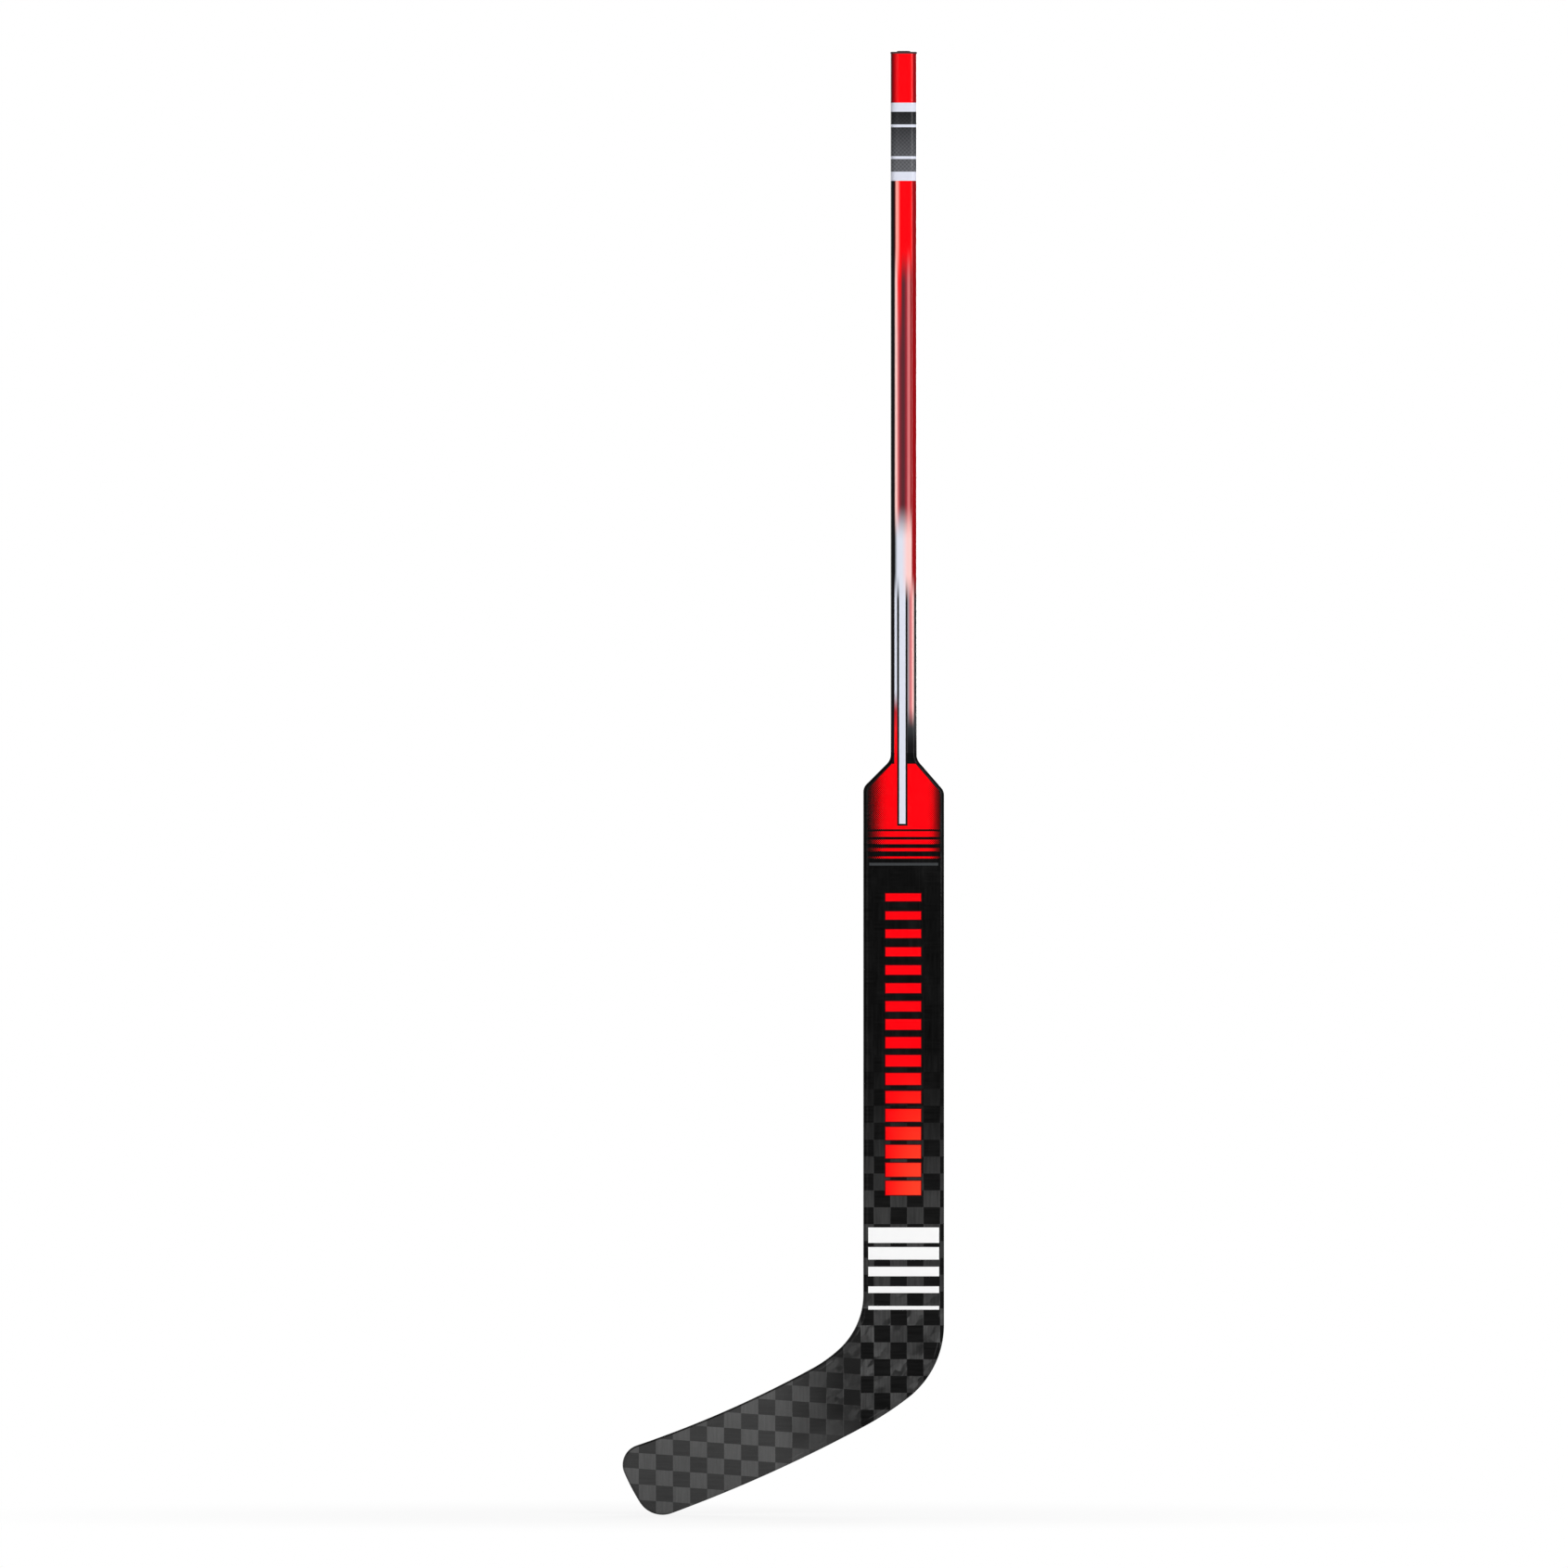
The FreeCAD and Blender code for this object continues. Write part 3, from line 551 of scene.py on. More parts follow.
def layBakeMap(piece, strips, lean=0, girth=0):
    size, mesh = bakeSizes, piece.data
    flatAcross, flatAlong, inside = (readAll(mesh.attributes[name].data, "value") for name in flatNames)
    turn = math.radians(lean)
    across = flatAcross * math.cos(turn) - flatAlong * math.sin(turn)
    along = flatAcross * math.sin(turn) + flatAlong * math.cos(turn)
    across, along = across - across.min(), along - along.min()
    vert = readAll(mesh.loops, "vertex_index", int)
    count = readAll(mesh.polygons, "loop_total", int)
    face = np.repeat(np.arange(len(count)), count)
    u, v = across[vert], along[vert]
    if girth:  # the faces that close a tube carry on past its last column
        furthest = np.zeros(len(count))
        np.maximum.at(furthest, face, u)
        u = np.where(furthest[face] - u > girth / 2, u + girth, u)
    wide, run = u.max() + size.gapAcross, v.max() / strips
    strip = np.minimum(np.bincount(face, v) / count // run, strips - 1)[face]
    hidden = np.bincount(face, inside[vert])[face] > 0
    kept, margin = 1 - size.insideShare, size.insideMargin  # unseen faces are squeezed into what is left
    shownU = (u + strip * wide) / (wide * strips) * kept
    shownV = (v - strip * run + size.gapAlong) / (run + 2 * size.gapAlong)
    hiddenU = kept + (1 - kept) * (margin + (1 - margin) * u / wide)
    mapU, mapV = np.where(hidden, hiddenU, shownU), np.where(hidden, v / v.max(), shownV)
    layer = mesh.uv_layers.new(name="OFBake")
    layer.uv.foreach_set("vector", np.stack((mapU, mapV), 1).ravel())
    for name in flatNames:
        mesh.attributes.remove(mesh.attributes[name])


# Cloth skins of the paddle and blade

skinSizes = Named(
    edgeRadius=4, edgeSteps=7, wallSteps=2, leastWall=0.1, slopeReach=0.5, grid=6, snap=0.03, thick=0.28,
    seamX=-47.35, seamGap=0.07, seamRoll=0.12, seamRollWidth=0.9, seamSnap=0.0001, seamNear=0.001,
    partGap=0.05,
)


def edgeColumn(point, outward, side):  # points from the parting line over the rounded edge to the face
    size = skinSizes
    radius, reach = size.edgeRadius, size.slopeReach

    def height(inset):
        at = point - outward * inset
        return side * faceDepth(side, at.x, at.y)

    slope = (height(radius + reach) - height(radius - reach)) / (2 * reach)
    steep = math.sqrt(1 + slope ** 2)
    centre = height(radius) - radius * steep
    low = side * middleDepth(point.x, point.y) + size.partGap
    walled = centre > low + size.leastWall  # on a thin blade the halves may part on the rounding itself
    wallSteps = size.wallSteps if walled else 0
    column = [(0, low + (centre - low) * k / wallSteps) for k in range(wallSteps)]
    first = 0 if walled else math.asin((low - centre) / radius)
    last = math.atan2(1, slope)
    steps = size.edgeSteps + size.wallSteps - wallSteps
    for k in range(steps + 1):
        turn = first + (last - first) * k / steps
        column.append((radius - radius * math.cos(turn), centre + radius * math.sin(turn)))
    return [Vector((point.x - outward.x * inset, side * rise, point.y - outward.y * inset))
            for inset, rise in column]


def crosses(face, axis, place):
    reach = [vert.co[axis] for vert in face.verts]
    return min(reach) < place < max(reach)


def cutFaces(bm, faces, axis, place):  # split the faces that a plane crosses
    crossed = [f for f in faces if crosses(f, axis, place)]
    parts = set(crossed) | {e for f in crossed for e in f.edges} | {v for f in crossed for v in f.verts}
    middle, across = Vector(), Vector()
    middle[axis], across[axis] = place, 1
    bmesh.ops.bisect_plane(bm, geom=list(parts), dist=skinSizes.snap * mm, plane_co=middle, plane_no=across)


def halfSkin(side):
    bm = bmesh.new()
    across, along = addFlatLayers(bm)[:2]
    columns = [[bm.verts.new(p * mm) for p in edgeColumn(*place, side)] for place in outline]
    for column, (point, outward) in zip(columns, outline):  # the edge unrolls outwards from the face
        rim, run = column[-1].co / mm, 0
        for outer, inner in zip(column[-2::-1], column[:0:-1]):
            run += (inner.co - outer.co).length / mm
            outer[across], outer[along] = rim.x + outward.x * run, rim.z + outward.y * run
    for first, second in zip(columns, columns[1:]):
        for k in range(len(first) - 1):
            corners = (first[k], second[k], second[k + 1], first[k + 1])
            bm.faces.new(corners if side < 0 else corners[::-1])
    inner = [column[-1] for column in columns]
    broad = bm.faces.new(inner if side < 0 else inner[::-1])
    broad.material_index = 1  # marks the broad face while it is cut into a grid
    step = skinSizes.grid
    for axis in (2, 0):
        reach = [vert.co[axis] / mm for vert in inner]
        for k in range(math.ceil(min(reach) / step), math.floor(max(reach) / step) + 1):
            cutFaces(bm, [f for f in bm.faces if f.material_index == 1], axis, k * step * mm)
    gridFaces = [f for f in bm.faces if f.material_index == 1]
    gridVerts = {v for f in gridFaces for v in f.verts}
    for vert in gridVerts:
        vert[across], vert[along] = vert.co.x / mm, vert.co.z / mm
    for vert in gridVerts.difference(inner):
        vert.co.y = faceDepth(side, vert.co.x / mm, vert.co.z / mm) * mm
    for face in gridFaces:
        face.material_index = 0
    return bm


def thicken(bm, depth):  # gives the open skin its inner face and closes its rim
    bm.normal_update()
    outside, rim = bm.faces[:], [e.link_loops[0] for e in bm.edges if e.is_boundary]
    within = {v: bm.verts.new(v.co - v.normal * depth, v) for v in bm.verts[:]}
    for vert in within.values():
        vert[bm.verts.layers.float["inside"]] = 1
    for face in outside:
        bm.faces.new([within[v] for v in reversed(face.verts)])
    for loop in rim:
        first, second = loop.vert, loop.link_loop_next.vert
        bm.faces.new((second, first, within[first], within[second]))
    bm.normal_update()


def cutUpright(bm, x, sign, snap, dropRest):
    everything = bm.verts[:] + bm.edges[:] + bm.faces[:]
    bmesh.ops.bisect_plane(bm, geom=everything, dist=snap * mm, plane_co=(x, 0, 0), plane_no=(sign, 0, 0),
                           clear_inner=dropRest)


def splitSkin(whole, side, keepPaddle):
    size = skinSizes
    bm = whole.copy()
    sign = 1 if keepPaddle else -1
    seam = (size.seamX + sign * size.seamGap) * mm
    cutUpright(bm, seam, sign, size.seamSnap, dropRest=True)
    cutUpright(bm, seam + sign * size.seamRollWidth * mm, sign, size.snap, dropRest=False)
    for vert in bm.verts:
        if abs(vert.co.x - seam) < size.seamNear * mm:
            vert.co.y -= side * size.seamRoll * mm  # the cloth's edge is pressed down
    thicken(bm, size.thick * mm)
    return bm


def addEdgeFacts(piece):  # distance from the outline, and how far the nearest edge looks up
    places = np.array([(v.co.x / mm, v.co.z / mm) for v in piece.data.vertices])
    line = np.array([(p.x, p.y) for p, outward in outline])
    looks = np.array([outward.y for p, outward in outline])
    start, run = line[:-1], np.diff(line, axis=0)
    best, rise = np.full(len(places), np.inf), np.zeros(len(places))
    for k in range(len(start)):
        away = places - start[k]
        share = np.clip(away @ run[k] / (run[k] @ run[k]), 0, 1)
        apart = np.hypot(*(away - share[:, None] * run[k]).T)
        nearer = apart < best
        best = np.where(nearer, apart, best)
        rise = np.where(nearer, looks[k] + (looks[k + 1] - looks[k]) * share, rise)
    for name, values in (("edgeDistance", best), ("edgeRise", rise)):
        attribute = piece.data.attributes.new(name, "FLOAT", "POINT")
        attribute.data.foreach_set("value", values.astype(np.float32))


def addObject(name, data):
    made = bpy.data.objects.new(name, data)
    bpy.context.scene.collection.objects.link(made)
    return made


def finishMesh(bm, name, sharp=40):
    mesh = bpy.data.meshes.new(name)
    bm.to_mesh(mesh)
    bm.free()
    mesh.shade_smooth()
    mesh.set_sharp_from_angle(angle=math.radians(sharp))
    return addObject(name, mesh)


skins = {}
for side, sideName in ((-1, "front"), (1, "back")):
    whole = halfSkin(side)
    for region in ("paddle", "blade"):
        skinName = region + sideName.capitalize() + "Cloth"
        piece = finishMesh(splitSkin(whole, side, region == "paddle"), skinName)
        addEdgeFacts(piece)
        layBakeMap(piece, bakeSizes.skinStrips, lean=bakeSizes.lean[region])
        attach(piece, "root")
        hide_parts("%s_%s_weave" % (region, sideName))
        skins[region, sideName] = piece
    whole.free()
print("cloth skins built:", sum(len(p.data.polygons) for p in skins.values()), "faces")


# Shaft and butt plug, lofted through rounded rectangles

def roundedLoop(halfX, halfY, radius, z, flatX=14, flatY=8, corner=8):
    points = []
    insideX, insideY = halfX - radius, halfY - radius
    for number, (signX, signY) in enumerate(((1, 1), (-1, 1), (-1, -1), (1, -1))):
        centre = Vector((signX * insideX, signY * insideY, z))
        for k in range(corner + 1):
            angle = math.radians(90 * number + 90 * k / corner)
            points.append(centre + Vector((math.cos(angle), math.sin(angle), 0)) * radius)
        level = number % 2 == 0
        ahead = Vector((-2 * insideX * signX, 0, 0) if level else (0, -2 * insideY * signY, 0))
        flat = flatX if level else flatY
        last = points[-1]
        points += [last + ahead * k / flat for k in range(1, flat)]
    return points


def loft(bm, loops, capFirst=False, capLast=False):
    rows = [[bm.verts.new(p * mm) for p in loop] for loop in loops]
    for low, high in zip(rows, rows[1:]):
        for k in range(len(low)):
            after = (k + 1) % len(low)
            bm.faces.new((low[k], low[after], high[after], high[k]))
    if capFirst:
        bm.faces.new(rows[0][::-1])
    if capLast:
        bm.faces.new(rows[-1])
    return rows


shaftSizes = Named(
    width=outlineSizes.shaftWidth, depth=profileSizes.paddleDepth, length=770, wall=1.6, edgeRadius=4,
    rowStep=10, swell=0.2, bulge=4, flatEnd=60,
)


def swollen(point, share):  # the moulded tube's faces bulge a little between its edges
    size = shaftSizes
    halfX, halfY, power = size.width / 2, size.depth / 2 + size.swell, size.bulge
    reach = (abs(point.x / halfX) ** power + abs(point.y / halfY) ** power) ** (-1 / power)
    grown = 1 + (reach - 1) * share
    return Vector((point.x * grown, point.y * grown, point.z))


def buildShaft():
    size = shaftSizes
    bm = bmesh.new()
    across, along, inside = addFlatLayers(bm)
    count = round(size.length / size.rowStep)
    outer = []
    for k in range(count + 1):
        z = size.length * k / count
        rise = min(1, z / size.flatEnd)
        share = rise * rise * (3 - 2 * rise)  # none at the neck, where the tube meets the flat paddle
        loop = roundedLoop(size.width / 2, size.depth / 2, size.edgeRadius, z)
        outer.append([swollen(point, share) for point in loop])
    outside = (size.width / 2, size.depth / 2, size.edgeRadius)
    boreX, boreY, boreRadius = (reach - size.wall for reach in outside)
    bore = [roundedLoop(boreX, boreY, boreRadius, z) for z in (size.length, size.length / 2, 0)]
    rows = loft(bm, outer + bore)
    girth = 0
    for k in range(len(rows[0])):
        after = (k + 1) % len(rows[0])
        bm.faces.new((rows[-1][k], rows[-1][after], rows[0][after], rows[0][k]))
        for number, row in enumerate(rows):
            row[k][across], row[k][along] = girth, row[k].co.z / mm
            row[k][inside] = float(number > count)
        girth += (outer[-1][after] - outer[-1][k]).length
    bmesh.ops.recalc_face_normals(bm, faces=bm.faces[:])
    piece = finishMesh(bm, "shaftTube")
    layBakeMap(piece, bakeSizes.shaftStrips, girth=girth)
    return piece


shaftTube = buildShaft()
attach(shaftTube, "root")
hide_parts("shaft_tube")

plugSizes = Named(
    lip=0.3, flange=2, flangeWall=0.5, flangeRound=0.7, leastCorner=0.4,
    shankInset=1.9, shankLength=45, wall=2.5,
    slopeRun=0.5, slopeRise=0.05, grooveDepth=0.35, grooveWidth=0.8, grooveFloor=(0.7, 0.3),
    domeWidth=15, domeDepth=11, domeCorner=5, domeRise=1.2, domeRound=1,
    crownRise=0.1, crown=((2.4, 0.03), (3.8, 0), (4.9, 0)), roundSteps=4, sharp=50,
)


def roundOver(radius, steps):  # how far in and up each step of a rounded rim is
    turns = [math.radians(90 * k / steps) for k in range(steps + 1)]
    return [(radius * (1 - math.cos(turn)), radius * math.sin(turn)) for turn in turns]


def buildPlug():
    size = plugSizes
    seat = shaftSizes.length
    top, foot = seat + size.flange, seat - size.shankLength
    crownTop = top + size.domeRise

    def shaftLoop(inset, z):
        corner = max(size.leastCorner, shaftSizes.edgeRadius - inset)
        return roundedLoop(shaftSizes.width / 2 - inset, shaftSizes.depth / 2 - inset, corner, z)

    def domeLoop(grow, z):
        return roundedLoop(size.domeWidth / 2 + grow, size.domeDepth / 2 + grow, size.domeCorner + grow, z)

    hollow = size.shankInset + size.wall
    loops = [shaftLoop(hollow, seat - size.wall), shaftLoop(hollow, foot)]
    loops += [shaftLoop(size.shankInset, z) for z in (foot, seat)]
    loops += [shaftLoop(-size.lip, z) for z in (seat, seat + size.flangeWall)]
    for inset, rise in roundOver(size.flangeRound, size.roundSteps):
        loops.append(shaftLoop(inset - size.lip, top - size.flangeRound + rise))
    groove = size.grooveWidth
    loops += [domeLoop(groove + size.slopeRun, top + size.slopeRise), domeLoop(groove, top)]
    loops += [domeLoop(groove * share, top - size.grooveDepth) for share in size.grooveFloor]
    loops.append(domeLoop(0, top))
    for inset, rise in roundOver(size.domeRound, size.roundSteps):
        loops.append(domeLoop(-inset, crownTop - size.crownRise - size.domeRound + rise))
    for inset, drop in size.crown:
        loops.append(domeLoop(-inset, crownTop - drop))
    bm = bmesh.new()
    loft(bm, loops, capFirst=True, capLast=True)
    bmesh.ops.recalc_face_normals(bm, faces=bm.faces[:])
    return finishMesh(bm, "buttPlug", size.sharp)


buttPlug = buildPlug()
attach(buttPlug, "root")
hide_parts("butt_plug")
print("shaft and plug built")


# Finishes

inks = Named(
    brightRed=ink(252, 0, 12), fullRed=ink(226, 2, 14), orangeRed=ink(255, 62, 38), deepRed=ink(146, 5, 14),
    darkRed=ink(74, 3, 8), wine=ink(122, 38, 48), crimson=ink(158, 34, 50), maroon=ink(88, 38, 44),
    rose=ink(208, 98, 102), blush=ink(255, 160, 150), pale=ink(252, 200, 195), silver=ink(216, 219, 232),
    steel=ink(150, 151, 156), ash=ink(104, 105, 109), slate=ink(60, 62, 64), charcoal=ink(26, 27, 29),
    black=ink(16, 15, 17), white=ink(246, 246, 246),
)
clothLook = Named(rough=0.3, fibreRough=0.1, rubbedRough=0.15, peel=0.12, relief=0.06, strength=0.5)


def shadeOf(value, share):  # a factor about 1 from a 0 to 1 value
    return (value - 0.5) * share + 1


def finishCloth(sockets, colour, coat, rough, height, weave, lacquer):
    look = clothLook
    feed(sockets["Base Color"], colour)
    feed(sockets["Coat Weight"], coat)
    feed(sockets["Roughness"], weave.fibre * look.fibreRough + lacquer.rubbed * look.rubbedRough + rough)
    bumpFrom(sockets, lacquer.peel * look.peel + height, look.relief, look.strength)


paddleLook = Named(
    weave=dict(towX=18.2, towZ=18.6, shiftX=3.6, shiftZ=-500.2),
    lightTow=0.035, darkTow=0.0045, tintShare=0.3, fibreShare=0.4, fadeTop=-295, fadeEnd=-497,
    fadePower=2, plainBlack=0.001, plainSheen=0.004, coatLeast=0.02, coatFibre=0.08,
    cloudFlat=0.4, cloudScale=0.05, cloudLevels=(0.45, 0.75),
    drawnAcross=0.5, drawnAlong=0.008, drawnLevels=(0.5, 0.8),
    creased=(-575, -625), elbowLift=1.25, lineLevel=0.025, selvedgeShare=0.6,
    frayed=dict(inset=0.8, wander=1.4),
    panelTop=-12, panelFoot=-84, panelLeft=(-42, -12), panelRight=(44, 23), dotPitch=1.5,
    border=4.2, borderSoft=0.3, barAbove=(-10.3, -6.2), barAboveFoot=-14.5, barAboveSoft=0.5,
    footBars=dict(top=-85, pitch=8.6, count=4, first=0.72, last=0.25), cuff=(-124, -121), cuffHalf=38,
    stripeLeft=-5, stripeRight=2, stripeFoot=-78, keyline=2.2,
    ladder=dict(top=-149, pitch=20, count=17, first=0.42, last=0.78),
    ladderLeft=-20, ladderRight=19, ladderEdge=0.9, warmDown=(-330, -490), warmAcross=(-26, 16),
    whiteBars=dict(top=-521, pitch=20, count=5, first=0.85, last=0.2), whiteHalf=39,
)


def barePaddle(x, z, edge, weave):  # black above, checked lower down, creased at the elbow
    look = paddleLook
    level = mixValues(weave.check, look.darkTow, look.lightTow)
    level *= shadeOf(weave.tint, look.tintShare)
    level *= shadeOf(weave.fibre, look.fibreShare)
    nearElbow = ease(z, *look.creased)
    # painted light and shade on the creased facets near the elbow
    crease = useGroup(clothCrease, x=x, z=z).factor
    level *= mixValues(nearElbow * weave.check, 1, crease * look.elbowLift)
    # painted highlight: a pale hairline along the seam where the paddle cloth meets the blade cloth
    frayed = useGroup(edgeFold, x=x, z=z, edge=x - skinSizes.seamX, **look.frayed).mask
    folds = most(useGroup(edgeFold, x=x, z=z, edge=edge).mask, frayed)
    # painted highlights along folds and painted glints at tow edges lighten the weave
    lines = most(folds * nearElbow, weave.selvedge * look.selvedgeShare)
    level += lines * look.lineLevel
    cloud = noise(join(x, z * look.cloudFlat), look.cloudScale, detail=4)
    drawn = noise(join(x * look.drawnAcross, z * look.drawnAlong), scale=1, detail=3)
    sheen = ease(cloud, *look.cloudLevels) + ease(drawn, *look.drawnLevels)
    plain = sheen * look.plainSheen + look.plainBlack
    run = (look.fadeTop - z) / (look.fadeTop - look.fadeEnd)
    clear = calc("POWER", calc("MINIMUM", most(run, 0), 1), look.fadePower)
    return mixValues(clear, plain, level), clear


def printPaddle(colour, across, z, edge):
    look = paddleLook

    # shoulder panel: red, dotted away to black at the sides, with level bars and a grey line at its foot
    tone = ease(across, *look.panelLeft) * ease(across, *look.panelRight)
    dots = useGroup(dotScreen, x=across, z=z, pitch=look.dotPitch, tone=tone).mask
    footBars = useGroup(barScreen, along=z, **look.footBars).mask
    panel = most(above(z, look.panelFoot), footBars) * below(z, look.panelTop)
    panel = most(panel, band(across, *look.barAbove) * above(z, look.barAboveFoot, look.barAboveSoft))
    panel *= dots * above(edge, look.border, look.borderSoft)
    colour = mixColours(panel, colour, inks.brightRed)
    cuff = band(z, *look.cuff) * below(abs(across), look.cuffHalf)
    colour = mixColours(cuff, colour, inks.slate)

    # centre stripe that comes down from the shaft, with a dark line on each side
    for grow, paint in ((look.keyline, inks.black), (0, inks.silver)):
        stripe = band(across, look.stripeLeft - grow, look.stripeRight + grow)
        stripe *= above(z, look.stripeFoot - grow)
        colour = mixColours(stripe, colour, paint)

    # ladder of red bars with a dark edge, a little orange low down
    warm = ease(z, *look.warmDown) * ease(across, *look.warmAcross)
    red = mixColours(warm, inks.brightRed, inks.orangeRed)
    for grow, paint in ((look.ladderEdge, inks.darkRed), (0, red)):
        bars = useGroup(barScreen, along=z, grow=grow, **look.ladder).mask
        bars *= band(across, look.ladderLeft - grow, look.ladderRight + grow)
        colour = mixColours(bars, colour, paint)

    # white bars above the heel
    bars = useGroup(barScreen, along=z, **look.whiteBars).mask
    bars *= band(across, -look.whiteHalf, look.whiteHalf)
    return mixColours(bars, colour, inks.white)


def makePaddleCloth(name, turned):
    look = paddleLook
    made, tree, sockets = newMaterial(name, {"Specular IOR Level": 0.01, "Coat Roughness": 0.1})
    x, y, z = placeIn(tree)
    edge = readAttribute(tree, "edgeDistance")
    weave = useGroup(towWeave, x=x, z=z, **look.weave)
    lacquer = useGroup(clearLacquer, x=x, y=y, z=z)
    level, clear = barePaddle(x, z, edge, weave)
    colour = printPaddle(grey(level), x * turned, z, edge)  # across runs from the viewer's left
    coat = weave.fibre * look.coatFibre + look.coatLeast
    finishCloth(sockets, colour, coat, clothLook.rough, weave.height * clear, weave, lacquer)
    return made


bladeLook = Named(
    weave=dict(towX=18.8, towZ=17.3, shiftX=-235.4, shiftZ=-774.1, lean=0.069),
    tintShare=0.16, fibreShare=0.18,
    toeDark=0.0465, toeLight=0.095, heelDark=0.0098, heelLight=0.0285, pale=(-60, -150),
    paleDrift=40, paleScale=0.02,
    toeRough=0.12, coatLeast=0.02, coatHeel=0.05, creased=(-105, -75), lined=(-150, -110), lineLevel=0.03,
    hazeLevel=0.055, hazeShare=0.5, hazeEdge=(30, 4), hazeRise=(-0.3, -0.8), hazeAcross=(-120, -55, 25),
    topDark=0.85, topEdge=(2.4, 1.2), topRise=(0.2, 0.8),
)


def makeBladeCloth(name):
    look = bladeLook
    made, tree, sockets = newMaterial(name, {"Specular IOR Level": 0.02, "Coat Roughness": 0.12})
    x, y, z = placeIn(tree)
    edge, rise = readAttribute(tree, "edgeDistance"), readAttribute(tree, "edgeRise")
    weave = useGroup(towWeave, x=x, z=z, **look.weave)
    lacquer = useGroup(clearLacquer, x=x, y=y, z=z)

    # the toe half is paler than the heel half, a painted sheen of light on the curved blade, and duller,
    # with a rougher and thinner coat
    drift = (noise(join(x, z), look.paleScale, detail=1) - 0.5) * look.paleDrift
    toeward = ease(x + drift, *look.pale)
    toe = mixValues(weave.check, look.toeDark, look.toeLight)
    heel = mixValues(weave.check, look.heelDark, look.heelLight)
    level = mixValues(toeward, heel, toe)
    level *= shadeOf(weave.tint, look.tintShare)
    level *= shadeOf(weave.fibre, look.fibreShare)
    # painted light and shade on the creased facets at the heel
    crease = useGroup(clothCrease, x=x, z=z).factor
    level *= mixValues(ease(x, *look.creased) * weave.check, 1, crease)

    # painted glints where upright tows meet, painted highlights along folds, a painted reflection on the
    # lower edge near the heel, and painted shade on the upper edge
    folds = useGroup(edgeFold, x=x, z=z, edge=edge).mask
    level += most(weave.selvedge, folds) * ease(x, *look.lined) * look.lineLevel
    # painted reflection: a paler lower edge near the heel, where the rounding faces down
    lower = ease(edge, *look.hazeEdge) * ease(rise, *look.hazeRise)
    level = mixValues(lower * band(x, *look.hazeAcross) * look.hazeShare, level, look.hazeLevel)
    # painted shade on the upper edge, where the rounding faces up
    upper = ease(edge, *look.topEdge) * ease(rise, *look.topRise)
    level *= 1 - upper * look.topDark
    coat = (1 - toeward) * look.coatHeel + look.coatLeast
    rough = toeward * look.toeRough + clothLook.rough
    finishCloth(sockets, grey(level), coat, rough, weave.height, weave, lacquer)
    return made


shaftLook = Named(
    bandTop=716, bandFoot=630, bandEdge=10, bandLines=((654, 657), (689, 692)),
    bandWeave=dict(towX=2.2, towZ=2.2, wander=0.1), bandCheck=0.35,
    zones=dict(silver=(275, 232), barred=(200, 165), sheen=(515, 560)),
    dots=dict(pitch=1.5, tone=0.45), dotsAcross=(3.6, 7.2, 0.8), dotShare=0.22,
    warmUp=(430, 560), warmAcross=(-7, -2.5, 1),
    redBar=(-10.3, -7.2, 58), redDown=(70, 10), duskBar=(4.2, 14.6, 40), duskDown=(40, 6), barFade=14,
    sideLine=0.5, sideSoft=0.1, sideFrom=13, rough=0.26, rubbedRough=0.2, relief=0.012, strength=0.6,
)
shaftStripes = dict(  # places across a broad face, from the left, and their inks
    # the red top darkens towards both edges: painted shade on the rounded corners
    plainRed=((-14.3, "darkRed"), (-11.4, "deepRed"), (-8, "fullRed"), (-5, "brightRed"),
              (9.6, "brightRed"), (10.8, "deepRed"), (14.3, "deepRed")),
    sheen=((-14.3, "black"), (-11.2, "black"), (-9.6, "darkRed"), (-8.2, "blush"), (-7, "blush"),
           (-4, "brightRed"), (8, "brightRed"), (10.6, "deepRed"), (14.3, "deepRed")),
    maroon=((-14.3, "black"), (-10.2, "black"), (-9, "pale"), (-7.8, "pale"), (-6.2, "rose"),
            (-4.2, "wine"), (-1.8, "maroon"), (0.4, "maroon"), (3.4, "crimson"), (5.2, "rose"),
            (6.2, "rose"), (7.8, "deepRed"), (14.3, "deepRed")),
    silver=((-14.3, "black"), (-9.8, "black"), (-7, "silver"), (-2, "silver"), (4.5, "pale"),
            (8, "pale"), (9.4, "deepRed"), (14.3, "deepRed")),
    barred=((-14.3, "black"), (-10.3, "black"), (-9.9, "silver"), (-7.6, "silver"), (-7.2, "black"),
            (-5.2, "black"), (-4.8, "silver"), (1.8, "silver"), (2.2, "black"), (4, "black"),
            (4.4, "steel"), (8, "rose"), (10.8, "pale"), (11.6, "slate"), (14.3, "black")),
)


def stripesAcross(across):
    wide = shaftSizes.width
    share = (across + wide / 2) / wide
    return {name: colourStops(share, [(place / wide + 0.5, inks[paint]) for place, paint in pairs])
            for name, pairs in shaftStripes.items()}


